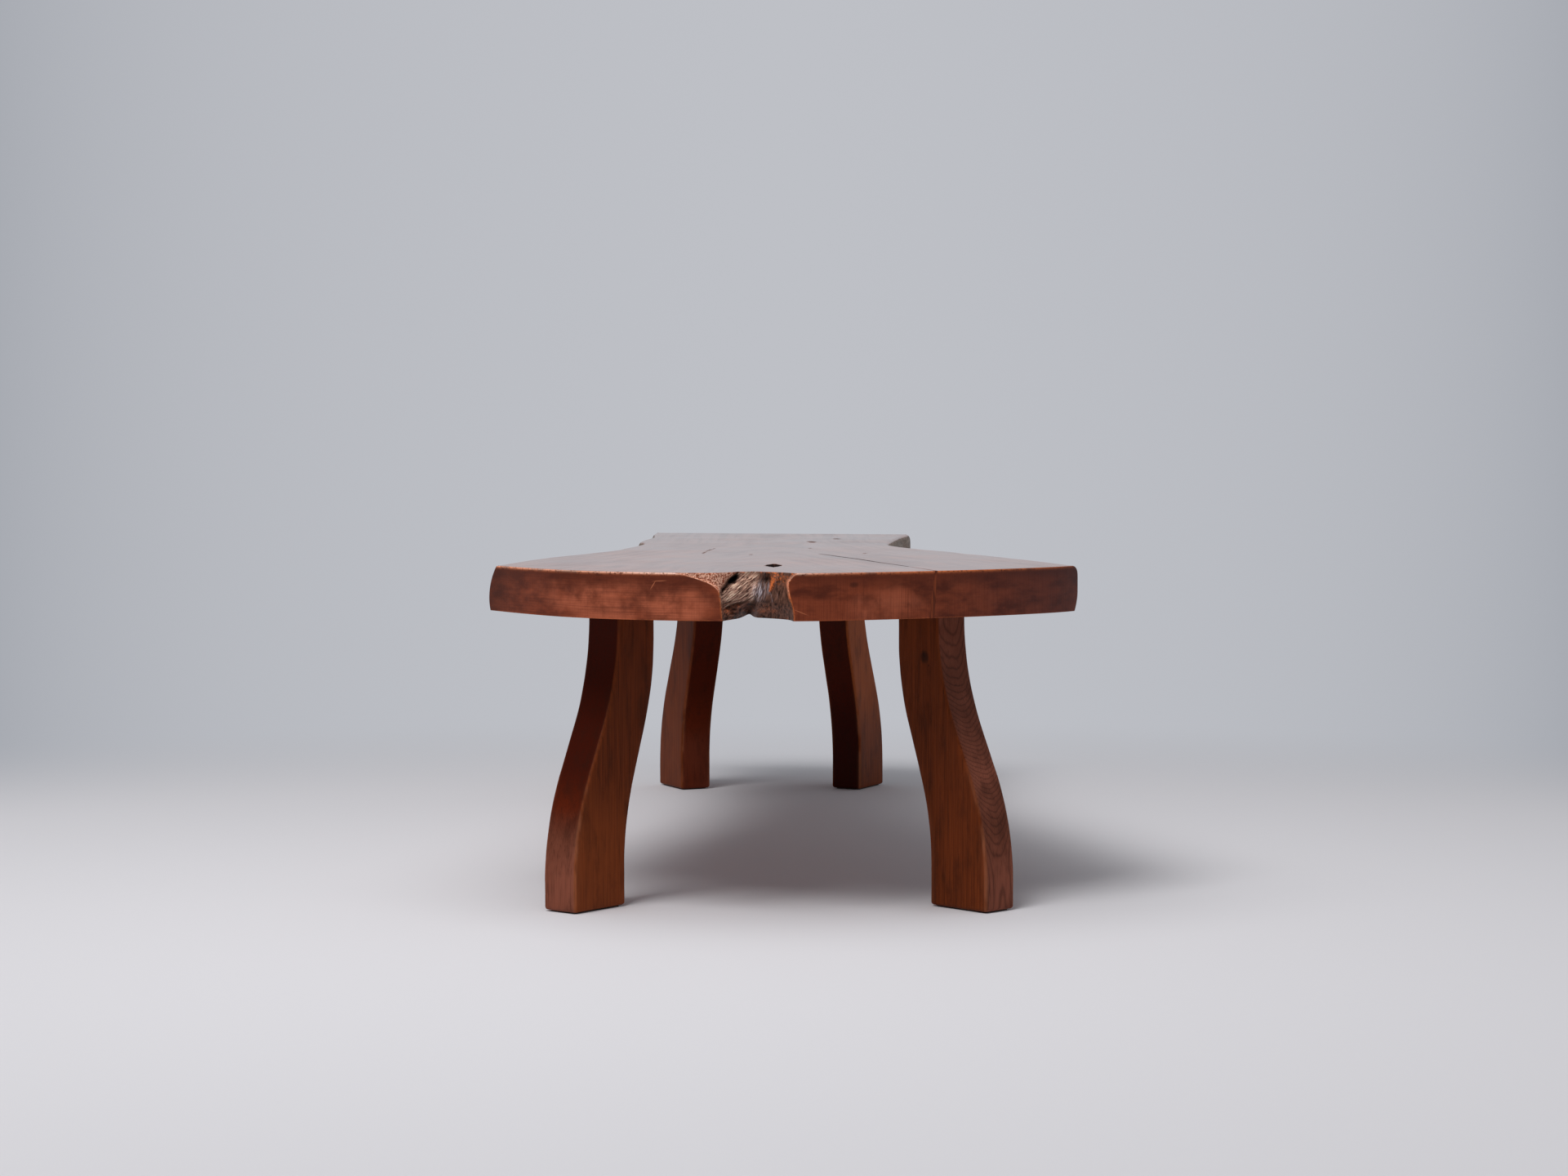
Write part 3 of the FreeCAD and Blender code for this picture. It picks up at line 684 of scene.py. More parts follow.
class Surface:
    """Vertices and faces that are gathered stretch by stretch into one mesh."""

    def __init__(self, *masks):
        self.vertices = []
        self.faces = []
        self.smooth = []
        self.masks = {name: [] for name in masks}
        self.count = 0

    def add_vertices(self, points, **masks):
        """Adds an array of points of any shape and returns their numbers in the same shape. A mask
        has one value per point, and one that isn't given is nil."""
        points = np.asarray(points, float)
        shape = points.shape[:-1]
        numbers = self.count + np.arange(math.prod(shape)).reshape(shape)
        self.vertices.append(points.reshape(-1, 3))
        for name, values in self.masks.items():
            values.append(np.broadcast_to(masks.get(name, 0.0), shape).ravel())
        self.count += numbers.size
        return numbers

    def gathered_masks(self):
        """Each mask as one array over all vertices."""
        return {name: np.concatenate(values) for name, values in self.masks.items()}

    def add_faces(self, faces, smooth=True):
        """Adds rows of vertex numbers."""
        rows = np.asarray(faces).tolist()
        self.faces += rows
        self.smooth += [smooth] * len(rows)

    def add_wall(self, numbers, flipped=False, smooth=True):
        """Joins rows of vertex numbers by quads. They face out of a ring that runs to the left
        round what it encloses, with its rows going down, or into it when flipped."""
        following = np.roll(numbers, -1, axis=1)
        corners = [numbers[:-1], numbers[1:], following[1:], following[:-1]]
        if flipped:
            corners.reverse()
        self.add_faces(np.stack(corners, axis=-1).reshape(-1, 4), smooth)

    def add_block(self, numbers, smooth=True):
        """Adds a wall and closes both of its ends."""
        self.add_wall(numbers, smooth=smooth)
        self.add_cap([numbers[0]])
        self.add_cap([numbers[-1]], flipped=True)

    def add_cap(self, rings, inner=(), height=0, flipped=False):
        """Fills the area inside the first ring of vertex numbers and outside the others with
        triangles, through some more points inside it."""
        points = np.concatenate(self.vertices)
        outlines = [points[ring][:, :2] for ring in rings]
        inner = np.asarray(inner, float).reshape(-1, 2)
        inner = inner[inside(inner, outlines[0])]
        for hole in outlines[1:]:
            inner = inner[~inside(inner, hole)]
        more = np.column_stack([inner, np.full(len(inner), height)])
        numbers = np.concatenate([*rings, self.add_vertices(more)])
        edges = []
        first = 0
        for ring in rings:
            own = first + np.arange(len(ring))
            edges += np.column_stack([own, np.roll(own, -1)]).tolist()
            first += len(ring)
        flat = np.concatenate([*outlines, inner])
        result = geometry.delaunay_2d_cdt(flat.tolist(), edges, [], 1, 1e-9, True)
        places = np.array(result[0])
        triangles = np.array(result[2])
        origins = np.array([sources[0] for sources in result[3]])
        middles = places[triangles].mean(axis=1)
        keep = inside(middles, outlines[0])
        for hole in outlines[1:]:
            keep &= ~inside(middles, hole)
        triangles = triangles[keep]
        sides = places[triangles]
        first_side = sides[:, 1] - sides[:, 0]
        second_side = sides[:, 2] - sides[:, 0]
        turn = first_side[:, 0] * second_side[:, 1] - first_side[:, 1] * second_side[:, 0]
        wrong = (turn < 0) != flipped
        triangles[wrong] = triangles[wrong][:, ::-1]
        self.add_faces(numbers[origins[triangles]], smooth=False)


def inside(points, outline):
    """Which points lie inside a closed outline: those whose level line crosses it an odd number
    of times to their right."""
    count = np.zeros(len(points), int)
    for (x0, y0), (x1, y1) in zip(outline, np.roll(outline, -1, axis=0)):
        if y0 == y1:
            continue
        level = (y0 > points[:, 1]) != (y1 > points[:, 1])
        crossing = x0 + (points[:, 1] - y0) * (x1 - x0) / (y1 - y0)
        count += level & (points[:, 0] < crossing)
    return count % 2 == 1


def draw_in(side, depth):
    """How far a live side has drawn in from its belly at a depth share, in millimetres."""
    belly = side["belly_share"]
    above = np.clip((belly - depth) / belly, 0, 1) ** side["power"]
    below = np.clip((depth - belly) / (1 - belly), 0, 1) ** 2
    return side["top"] * above + side["under"] * below


def saw_face(curve, x_start, x_end, places):
    """A stretch of a saw cut, which is upright: places across it, all on the cut's plan curve."""
    x = x_start[:, None] + (x_end - x_start)[:, None] * places[None, :]
    return np.stack([x, read_table(curve, x)], axis=-1)


def hollow_recess(x, depth):
    """How deep the bare hollow is: its three profiles, blended from the upper face to half way
    down and on to the underside."""
    upper, middle, lower = (read_table(table, x) for table in (TOP_RECESS, MIDDLE_RECESS, UNDER_RECESS))
    recess = upper + (middle - upper) * smooth_step(0, 0.5, depth)
    return recess + (lower - recess) * smooth_step(0.55, 1.0, depth) ** 1.3


def hollow_places(x_left, x_right):
    """Where the hollow's columns lie, as shares of the way across: evenly by the length of its
    profile near the underside, together with a share of the way across."""
    trial = np.linspace(x_left.min(), x_right.max(), 500)
    rise = np.diff(hollow_recess(trial, HOLLOW_PROFILE_SHARE))
    length = np.concatenate([[0], np.cumsum(np.hypot(np.diff(trial), rise))])
    length = length + HOLLOW_ACROSS_SHARE * (trial - trial[0])
    places = np.interp(np.linspace(0, length[-1], HOLLOW_COLUMNS), length, trial)
    return (places - trial[0]) / (trial[-1] - trial[0])


def hollow_forms(x, z):
    """The hollow's forms as masks: its soft ovals and lines, the step under its ledge with the shade
    in it, the lips below, and the ledge's crest."""
    forms = {name: spot(x, z, *row) for name, row in HOLLOW_SPOTS.items()}
    forms |= {name: band(x, z, *row) for name, row in HOLLOW_LINES.items()}
    below = np.interp(x, *zip(*LEDGE_LINE)) - z
    step = smooth_step(*LEDGE_STEP, below) * smooth_step(*LEDGE_START, x)
    step = step * (1 - smooth_step(*LEDGE_END, x))
    forms["shade"] = step * (1 - smooth_step(*SHADE_REACH, below))
    forms["step"] = step * (1 - smooth_step(*STEP_REACH, below))
    forms["lips"] = forms["ledge_lip"] + forms["left_lip"] + 0.4 * forms["right_lip"]
    crest = bell(below, CREST_WIDTH) * smooth_step(*CREST_START, x)
    forms["crest"] = crest * (1 - smooth_step(*CREST_END, x))
    return forms


def hollow_grains(x, z, recess):
    """The hollow's noises, each on places divided by the size of its grains in millimetres: slanting
    ribs, upright flutes, creases that fan out downwards, rough lumps, fine grit, shelves that lean
    and speckles."""
    slope = math.radians(RIB_SLOPE)
    athwart = x * math.sin(slope) - z * math.cos(slope)
    alongside = x * math.cos(slope) + z * math.sin(slope)
    return SimpleNamespace(
        ribs=layered_noise(11, athwart / 1.9, alongside / 12 + 7, layers=2),
        flutes=layered_noise(17, (x + 0.2 * z) / 1.7, z / 14 + 3, layers=2),
        fan=layered_noise(37, (x + 14) * 30 / (36 - z) / 2.2, z / 20, layers=2),
        rough=layered_noise(23, x / 5, z / 5, recess / 12),
        fine=layered_noise(29, x / 1.5, z / 1.8),
        shelves=layered_noise(43, (z - 0.3 * x) / 2.2, (x + 0.3 * z) / 14, layers=2),
        speckle=grain_noise(41, x / 1.1, z / 1.1),
    )


def hollow_masks(x, z, from_left, from_right, forms, grain):
    """The finishes' masks in the hollow: ribs at the upper left, thinner in their deep grooves as
    painted shade, a tan wane left of the gully, reddish lumps, a glaze to the right with streaks of
    painted sheen, worn and pale arrises and crests, and painted shade in its deep forms."""
    gully = HOLLOW_LINES["gully"][0]
    from_gully = np.interp(z, *zip(*((up, across) for across, up in reversed(gully)))) - x
    wane = smooth_step(*WANE_REACH, from_gully) * smooth_step(*WANE_HEIGHTS, z)
    ribs = forms["left_part"] * smooth_step(*RIB_HEIGHTS, z) * (1 - wane)
    # Less of the pale rib colour where the ribs' grooves are deep: painted shade in them.
    ribs = ribs * (1 - 0.5 * smooth_step(0.1, 0.6, grain.ribs))
    ribs = ribs * (1 - 0.6 * smooth_step(*RIB_TOP_HEIGHTS, z))
    lumps = 0.4 * smooth_step(*LUMP_HEIGHTS, z) * smooth_step(0.1, 0.6, grain.rough)
    lumps = forms["lips"] + lumps
    corner = smooth_step(*CORNER_REACH, x) * smooth_step(*CORNER_HEIGHTS, z)
    sheen = forms["right_part"] * (1 - corner) * smooth_step(0.15, 0.6, grain.fan)
    arris = bell(from_right, np.interp(z, *zip(*RIGHT_ARRIS)))
    arris = arris * (0.6 + 0.4 * smooth_step(*ARRIS_HEIGHTS, z))
    worn = 1.3 * forms["streak"] * (0.2 + 0.8 * smooth_step(0.3, 0.55, grain.speckle))
    worn = worn + 0.8 * corner * smooth_step(0.42, 0.7, grain.speckle) + arris
    worn = worn + 0.8 * bell(from_left, LEFT_ARRIS_WIDTH)
    worn = worn + 0.7 * bell(z, HOLLOW_RIM_WEAR) * smooth_step(0.4, 0.6, grain.speckle)
    return {
        # Painted shade in the hollow's cavity, gully, pit and valley and under its ledge.
        "ink": sum(share * forms[name] for name, share in HOLLOW_SHADE_SHARES.items()),
        "ribs": ribs + forms["crest"],
        "wane": 0.97 * wane,
        "lumps": lumps * smooth_step(0.35, 0.65, grain.speckle),
        # The glaze takes in pale streaks of painted sheen on the right part.
        "glaze": forms["glaze"] + 0.3 * sheen,
        "worn": worn,
        "pale": 0.9 * forms["crest"] + 0.25 * arris * smooth_step(*PALE_HEIGHTS, z),
    }


def hollow_stretch(depth, x_left, x_right):
    """The bark hollow between the saw cuts, in millimetres, with the finishes' masks: the bare
    hollow, with its forms pushed in or out and its grains added, which fades out at its rim."""
    x = x_left[:, None] + (x_right - x_left)[:, None] * hollow_places(x_left, x_right)
    depth = np.broadcast_to(depth[:, None], x.shape)
    z = -depth * SLAB_THICKNESS / MM
    forms = hollow_forms(x, z)
    recess = hollow_recess(x, depth)
    for name, push in HOLLOW_PUSHES.items():
        recess = recess + push * forms[name]
    grain = hollow_grains(x, z, recess)
    left = forms["left_part"] = 1 - smooth_step(*LEFT_PART, x)
    right = forms["right_part"] = smooth_step(*RIGHT_PART, x)
    depths = SimpleNamespace(**GRAIN_DEPTHS)
    rough = depths.rough + depths.lower_rough * smooth_step(*ROUGH_HEIGHTS, z)
    recess = recess + left * (depths.ribs * grain.ribs + rough * grain.rough)
    recess = recess + depths.shelves * left * smooth_step(*SHELF_HEIGHTS, z) * grain.shelves
    recess = recess + depths.flutes * grain.flutes * forms["glaze"]
    recess = recess + right * (depths.fan * grain.fan + depths.right_rough * grain.rough)
    recess = recess + depths.fine * grain.fine
    from_left = x - x_left[:, None]
    from_right = x_right[:, None] - x
    rim = np.minimum(smooth_step(*RIM_REACH, from_left), smooth_step(*RIM_REACH, from_right))
    chord_x, chord_y = zip(*HOLLOW_CHORD)
    chord = np.interp(x, chord_x, chord_y)
    chord = np.where(x < chord_x[0], read_table(LEFT_SAW_CUT, x), chord)
    chord = np.where(x > chord_x[1], read_table(RIGHT_SAW_CUT, x), chord)
    points = np.stack([x, chord + np.maximum(recess * rim, 0)], axis=-1)
    return points, hollow_masks(x, z, from_left, from_right, forms, grain)


def slot_stretch(edge_before, edge_after):
    """The strip's slot: in along one side, across its inner end and out along the other."""
    along = np.linspace(0, 1, SLOT_COLUMNS)[:, None] ** 0.8
    tip = 0.5 * (edge_before + edge_after) + CRACK_AHEAD * STRIP_LENGTH
    left_tip = tip - CRACK_ASIDE * STRIP_TIP_WIDTH / 2
    right_tip = tip + CRACK_ASIDE * STRIP_TIP_WIDTH / 2
    left = edge_before[:, None, :] + (left_tip - edge_before)[:, None, :] * along
    right = edge_after[:, None, :] + (right_tip - edge_after)[:, None, :] * along[::-1]
    return np.concatenate([left, right], axis=1)


def eased_corner(loops, corner, radius):
    """Rounds the upright corner at a column: points nearer to it than the radius move towards the
    middle of the chord that joins the points at the radius, by a falling square."""
    middle = loops.shape[1] // 2
    rolled = np.roll(loops, middle - corner, axis=1)
    steps = np.linalg.norm(np.diff(rolled, axis=1), axis=-1)
    length = np.concatenate([np.zeros((len(loops), 1)), np.cumsum(steps, axis=1)], axis=1)
    away = np.abs(length - length[:, middle : middle + 1])
    pull = CORNER_PULL * np.clip(1 - away / radius, 0, 1) ** 2
    near = away < radius
    before = np.argmax(near, axis=1)
    after = rolled.shape[1] - 1 - np.argmax(near[:, ::-1], axis=1)
    rows = np.arange(len(loops))
    target = 0.5 * (rolled[rows, before] + rolled[rows, after])
    rolled = rolled + pull[..., None] * (target[:, None, :] - rolled)
    return np.roll(rolled, corner - middle, axis=1)


def outward(loops, level_stretches):
    """The outward direction of each loop's columns, averaged by a bell over some millimetres along
    the loop, so that points drawn in at a corner don't cross. The given stretches face straight
    to the front, because they are too rough or too narrow for directions of their own."""
    ahead = np.roll(loops, -1, axis=1) - np.roll(loops, 1, axis=1)
    for stretch in level_stretches:
        ahead[:, stretch] = (1, 0)
    ahead = ahead / np.maximum(np.linalg.norm(ahead, axis=-1, keepdims=True), 1e-9)
    weights = np.hanning(OUTWARD_SPREAD)
    weights /= weights.sum()
    reach = OUTWARD_SPREAD // 2
    result = np.empty_like(ahead)
    for row, (loop, directions) in enumerate(zip(loops, ahead)):
        sides = np.linalg.norm(np.roll(loop, -1, axis=0) - loop, axis=1)
        place = np.concatenate([[0], np.cumsum(sides)[:-1]])
        whole = sides.sum()
        even = np.arange(-reach, int(whole / OUTWARD_STEP) + reach + 1) * OUTWARD_STEP
        for axis in range(2):
            spread = np.interp(even, place, directions[:, axis], period=whole)
            eased = np.convolve(spread, weights, "valid")
            result[row, :, axis] = np.interp(place, even[reach:-reach], eased)
    result /= np.maximum(np.linalg.norm(result, axis=-1, keepdims=True), 1e-9)
    return np.stack([result[..., 1], -result[..., 0]], axis=-1)


def row_depths():
    """The depths of the wall's rows below the upper face: close at both arrises, even between."""
    arris = np.array(ARRIS_ROWS) * MM
    start = arris[-1] + ROW_STEP
    count = int((SLAB_THICKNESS - 2 * start) / ROW_STEP)
    middle = np.linspace(start, SLAB_THICKNESS - start, count)
    return np.concatenate([arris, middle, SLAB_THICKNESS - arris[::-1]])


def slab_wall():
    """The slab's wall as rows of closed loops, and each finish's mask on them."""
    drop = row_depths()
    depth = drop / SLAB_THICKNESS
    mouth_left = read_table(MOUTH_LEFT, depth)
    mouth_right = read_table(MOUTH_RIGHT, depth)
    left_in = draw_in(LEFT_SIDE, depth)
    right_in = draw_in(RIGHT_SIDE, depth)
    strip_centre = read_table(STRIP_CENTRE, depth)
    strip_half = read_table(STRIP_WIDTH, depth) / 2 + STRIP_GAP
    near_left = LEFT_LIVE_EDGE[0][0] + left_in
    near_right = RIGHT_LIVE_EDGE[0][0] - right_in

    ends = crowded_ends(CUT_COLUMNS)
    left_face = saw_face(LEFT_SAW_CUT, near_left, mouth_left, ends)
    hollow, masks = hollow_stretch(depth, mouth_left, mouth_right)
    right_face = saw_face(RIGHT_SAW_CUT, mouth_right, strip_centre - strip_half, ends)
    last_face = saw_face(RIGHT_SAW_CUT, strip_centre + strip_half, near_right, ends)
    live_places = crowded_ends(LIVE_COLUMNS)
    right_live = live_stretch(RIGHT_LIVE_EDGE, last_face[:, -1], -right_in, live_places, 51)
    left_live = live_stretch(LEFT_LIVE_EDGE, left_face[:, 0], left_in, live_places, 61)[:, ::-1]
    far_share = crowded_ends(FAR_COLUMNS)[None, :, None]
    stretches = {
        "left_face": left_face,
        "hollow": hollow,
        "right_face": right_face,
        "slot": slot_stretch(right_face[:, -1], last_face[:, 0]),
        "last_face": last_face,
        "right_live": right_live,
        "far": right_live[:, -1:] + (left_live[:, :1] - right_live[:, -1:]) * far_share,
        "left_live": left_live,
    }
    stretches = {name: part[:, :-1] for name, part in stretches.items()}
    loops = np.concatenate(list(stretches.values()), axis=1)
    counts = [part.shape[1] for part in stretches.values()]
    stops = np.cumsum(counts).tolist()
    columns_of = {
        name: slice(stop - count, stop) for name, stop, count in zip(stretches, stops, counts)
    }
    for name, radius in CORNER_RADII.items():
        loops = eased_corner(loops, columns_of[name].start, radius)

    arris = np.repeat([ARRIS_RADII[name] for name in stretches], counts)
    worn = 1 + ARRIS_WAVER * layered_noise(71, np.arange(len(arris)) / 9)
    arris = sum(np.roll(arris * worn, shift) for shift in range(-2, 3)) / 5
    arris = arris * np.where(depth > 0.5, LOWER_ARRIS_SHARE, 1.0)[:, None]
    inset = arris_inset(arris, np.minimum(drop, SLAB_THICKNESS - drop)[:, None] / MM)
    level = [columns_of["hollow"], columns_of["slot"]]
    loops = loops - outward(loops, level) * inset[..., None]
    points = raised(loops * MM, (TOP_Z - drop)[:, None, None])
    return points, wall_masks(stretches, masks, columns_of, drop)


def live_stretch(edge, corners, shifts, places, seed):
    """A live edge from its near corner to the far saw cut: its poles shift as the side draws in,
    and shallow waves that only cut inwards run over it."""
    poles = np.repeat(np.array(edge, float)[None], len(corners), axis=0)
    poles[:, :, 0] += shifts[:, None]
    poles[:, 0] = corners
    curve = follow(poles, places)
    rows = np.arange(len(corners))[:, None] / len(corners)
    wave = layered_noise(seed, curve[..., 1] / 42, rows * 1.6 + 5)
    knobs = layered_noise(seed + 5, curve[..., 1] / 13, rows * 3.2 + 2)
    ends = smooth_step(0, 0.03, places) * smooth_step(0, 0.03, 1 - places)
    cut = (WAVE_DEPTH * (1 + wave) / 2 + KNOB_DEPTH * (1 + knobs) / 2) * ends
    curve[..., 0] -= np.sign(edge[0][0]) * cut
    return curve


def knot_ring(grow=0.0):
    """The knot hole's star-like outline: a pointed oval whose radius wavers with the angle. It may
    be grown by some millimetres."""
    angle = np.linspace(0, 2 * math.pi, KNOT_POINTS, endpoint=False)
    half_width = KNOT_HALF_WIDTH + grow
    half_length = KNOT_HALF_LENGTH + grow
    across = half_width * np.sign(np.cos(angle)) * np.abs(np.cos(angle)) ** KNOT_POWERS[0]
    along = half_length * np.sign(np.sin(angle)) * np.abs(np.sin(angle)) ** KNOT_POWERS[1]
    waver = 1 + KNOT_WAVER * layered_noise(81, 3 + 9 * angle / math.pi)
    waver[-1] = waver[0]
    x = KNOT_CENTRE[0] + across * waver
    y = KNOT_CENTRE[1] + along * (1 + KNOT_RIPPLE * np.sin(7 * angle))
    return np.column_stack([x, y])


def crack_ring(grow=0.0):
    """The open crack's outline: its middle line, offset to both sides by half its width. It may be
    grown by some millimetres."""
    fine = follow(CRACK_LINE, np.linspace(0, 1, CRACK_POINTS))
    ahead = np.gradient(fine[:, :2], axis=0)
    ahead /= np.linalg.norm(ahead, axis=1, keepdims=True)
    aside = np.column_stack([ahead[:, 1], -ahead[:, 0]])
    beads = 1 + CRACK_WAVER * layered_noise(91, np.arange(CRACK_POINTS) / 3.5)
    half = grow + np.maximum(fine[:, 2] / 2 * beads, CRACK_LEAST_HALF)[:, None]
    fine[0, :2] -= ahead[0] * grow
    fine[-1, :2] += ahead[-1] * grow
    return np.concatenate([fine[:, :2] + aside * half, (fine[:, :2] - aside * half)[::-1]])


def mortise_ring(name):
    """The outline of a leg's mortise, with a few points along each side."""
    half_width = TENON_WIDTH / 2 + MORTISE_CLEARANCE
    half_thickness = TENON_THICKNESS / 2 + MORTISE_CLEARANCE
    corners = np.array([(-1, -1), (1, -1), (1, 1), (-1, 1)]) * (half_width, half_thickness)
    sides = np.linspace(0, 1, MORTISE_SIDE_POINTS + 1)[:-1, None]
    ring = [start + (end - start) * sides for start, end in zip(corners, np.roll(corners, -1, 0))]
    return turned(np.concatenate(ring), name)


def leg_place(name):
    """The middle of a leg's tenon in plan, in millimetres: it is the middle of its fox wedge."""
    low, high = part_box(f"{name}_fox_wedge")
    return np.array([low[0] + high[0], low[1] + high[1]]) / 2 / MM


def turned(plan, name):
    """Carries points of a leg's own plan to the leg's place and heading, in millimetres."""
    turn = math.radians(LEGS[name]["heading"])
    along = np.array([math.cos(turn), math.sin(turn)])
    aside = np.array([-math.sin(turn), math.cos(turn)])
    return leg_place(name) + plan[..., :1] * along + plan[..., 1:2] * aside


def wound_left(ring):
    """The same ring, running to the left round what it encloses."""
    following = np.roll(ring, -1, axis=0)
    area = (ring[:, 0] * following[:, 1] - ring[:, 1] * following[:, 0]).sum()
    return ring if area > 0 else ring[::-1]


def sink(surface, ring, from_z, to_z, draft=0.0, rows=3, rim=None, rim_drop=0.0, **masks):
    """A blind hole: rows of a ring that draw in towards its middle as they sink, and a floor. It may
    have a wider rim on the face, which slopes down to the ring, and the masks hold below that."""
    ring = wound_left(ring)
    middle = ring.mean(axis=0)
    levels = np.linspace(0, 1, rows)[:, None, None]
    plan = middle + (ring - middle) * (1 - draft * levels)
    heights = from_z + (to_z - from_z) * levels
    strength = np.ones((rows, 1))
    if rim is not None:
        plan = np.concatenate([wound_left(rim)[None], plan])
        heights = np.concatenate([heights[:1], heights])
        heights[1] -= rim_drop
        strength = np.concatenate([[[0]], strength])
    masks = {name: value * strength for name, value in masks.items()}
    numbers = surface.add_vertices(raised(plan * MM, heights), **masks)
    upwards = to_z > from_z
    surface.add_wall(numbers, flipped=not upwards)
    surface.add_cap([numbers[-1]], flipped=upwards)
    return numbers[0]


def crotch_slab(settings):
    """The slab: its wall, both faces with the knot hole, crack and mortises sunk in them."""
    points, masks = slab_wall()
    surface = Surface(*SLAB_MASKS)
    wall = surface.add_vertices(points, **masks)
    surface.add_wall(wall)
    knot = sink(
        surface, knot_ring(), TOP_Z, TOP_Z - KNOT_DEPTH,
        draft=KNOT_DRAFT, rows=8, rim=knot_ring(KNOT_LIP), rim_drop=KNOT_LIP_DROP, ink=0.9,
    )
    crack = sink(
        surface, crack_ring(), TOP_Z, TOP_Z - CRACK_DEPTH,
        rows=4, rim=crack_ring(CRACK_LIP), rim_drop=CRACK_LIP_DROP, ink=1.0,
    )
    mortise_top = UNDER_Z + (TENON_LENGTH + MORTISE_END_GAP) * MM
    mortises = [sink(surface, mortise_ring(name), UNDER_Z, mortise_top) for name in LEGS]
    ranges = (np.arange(low, high, CAP_SPACING) for low, high in zip(SLAB_LOW[:2], SLAB_HIGH[:2]))
    across, along = np.meshgrid(*ranges)
    across = across + (np.arange(len(across)) % 2)[:, None] * CAP_SPACING / 2
    grid = np.column_stack([across.ravel(), along.ravel()])
    surface.add_cap([wall[0], knot, crack], inner=grid, height=TOP_Z)
    surface.add_cap([wall[-1], *mortises], inner=grid, height=UNDER_Z, flipped=True)
    return make_piece("crotch_slab", surface, slab_wood(settings), "slab_wood", "slab_top")


def wall_masks(stretches, in_hollow, columns_of, drop):
    """The finishes' masks on the wall. The first and last rows belong to the flat faces and have
    none. Worn arrises fade by a bell from the face, and some stretches of them turn pale."""
    count = sum(part.shape[1] for part in stretches.values())
    masks = {name: np.zeros((len(drop), count)) for name in SLAB_MASKS}
    from_top = drop[:, None] / MM
    from_under = (SLAB_THICKNESS - drop)[:, None] / MM
    masks["bark"][:, columns_of["hollow"]] = 1
    for name, values in in_hollow.items():
        masks[name][:, columns_of["hollow"]] = values[:, :-1]
    ridge = bell(from_top, TOP_WEAR_REACH) + 0.4 * bell(from_under, UNDER_WEAR_REACH)
    for name, table in TOP_WEAR.items():
        x = stretches[name][..., 0]
        masks["worn"][:, columns_of[name]] = read_table(table, x) * ridge
        masks["pale"][:, columns_of[name]] = read_table(PALE_ARRIS, x) * bell(from_top, PALE_ARRIS_REACH)
    left_x = stretches["left_face"][..., 0]
    right_x = stretches["right_face"][..., 0]
    width = LEFT_MOUTH_WEAR[0] + LEFT_MOUTH_WEAR[1] * smooth_step(*LEFT_MOUTH_HEIGHTS, from_top)
    slope = bell(left_x[:, -1:] + LEFT_MOUTH_SHIFT - left_x, width)
    slope = slope * smooth_step(0.02, 0.1, drop / SLAB_THICKNESS)[:, None]
    masks["worn"][:, columns_of["left_face"]] += slope
    masks["pale"][:, columns_of["left_face"]] += 1.3 * slope * (from_top < 20)
    masks["worn"][:, columns_of["right_face"]] += 0.6 * bell(right_x - right_x[:, :1], RIGHT_MOUTH_WEAR)
    for name in ("right_live", "left_live"):
        masks["live"][:, columns_of[name]] = 1
    for values in masks.values():
        np.clip(values, 0, 1, out=values)
        values[[0, -1]] = 0
    return masks


def s_edge(side_share, straights, heights, sole, shoulder):
    """One edge of a leg at each height: upright, arc, slant, arc, upright, with equal radii that
    follow from the rise, the run and the slant's length."""
    foot_x = FOOT_REACH + side_share * FOOT_WIDTH
    top_x = side_share * LEG_TOP_WIDTH
    start = sole + straights[0]
    end = shoulder - straights[1]
    rise = end - start
    run = foot_x - top_x
    radius = (rise**2 + run**2 - SLANT_LENGTH**2) / (4 * run)
    turn = math.atan2(rise, 2 * radius - run) - math.atan2(SLANT_LENGTH, 2 * radius)
    arc_rise = radius * math.sin(turn)
    arc_run = radius * (1 - math.cos(turn))
    lower = foot_x - radius + np.sqrt(np.clip(radius**2 - (heights - start) ** 2, 0, None))
    upper = top_x + radius - np.sqrt(np.clip(radius**2 - (end - heights) ** 2, 0, None))
    slant = foot_x - arc_run - (heights - start - arc_rise) * math.tan(turn)
    edge = np.where(heights < start, foot_x, lower)
    edge = np.where(heights > start + arc_rise, slant, edge)
    edge = np.where(heights > end - arc_rise, upper, edge)
    return np.where(heights > end, top_x, edge)


def rounded_ring(low, high, half, radius):
    """Rings of a rectangle with rounded corners, one per height, running to the left."""
    quarter = np.linspace(0, math.pi / 2, ARC_POINTS)
    rings = []
    corners = (
        (high - radius, half - radius, 0),
        (low + radius, half - radius, 1),
        (low + radius, radius - half, 2),
        (high - radius, radius - half, 3),
    )
    for x_centre, y_centre, quarters in corners:
        angle = quarter + quarters * math.pi / 2
        x = x_centre[:, None] + radius[:, None] * np.cos(angle)
        y = y_centre[:, None] + radius[:, None] * np.sin(angle)
        rings.append(np.stack([x, y], axis=-1))
    parts = []
    between = np.linspace(0, 1, SIDE_POINTS + 2)[1:-1, None]
    for ring, following in zip(rings, rings[1:] + rings[:1]):
        gap = ring[:, -1:] + (following[:, :1] - ring[:, -1:]) * between
        parts += [ring, gap]
    return np.concatenate(parts, axis=1)


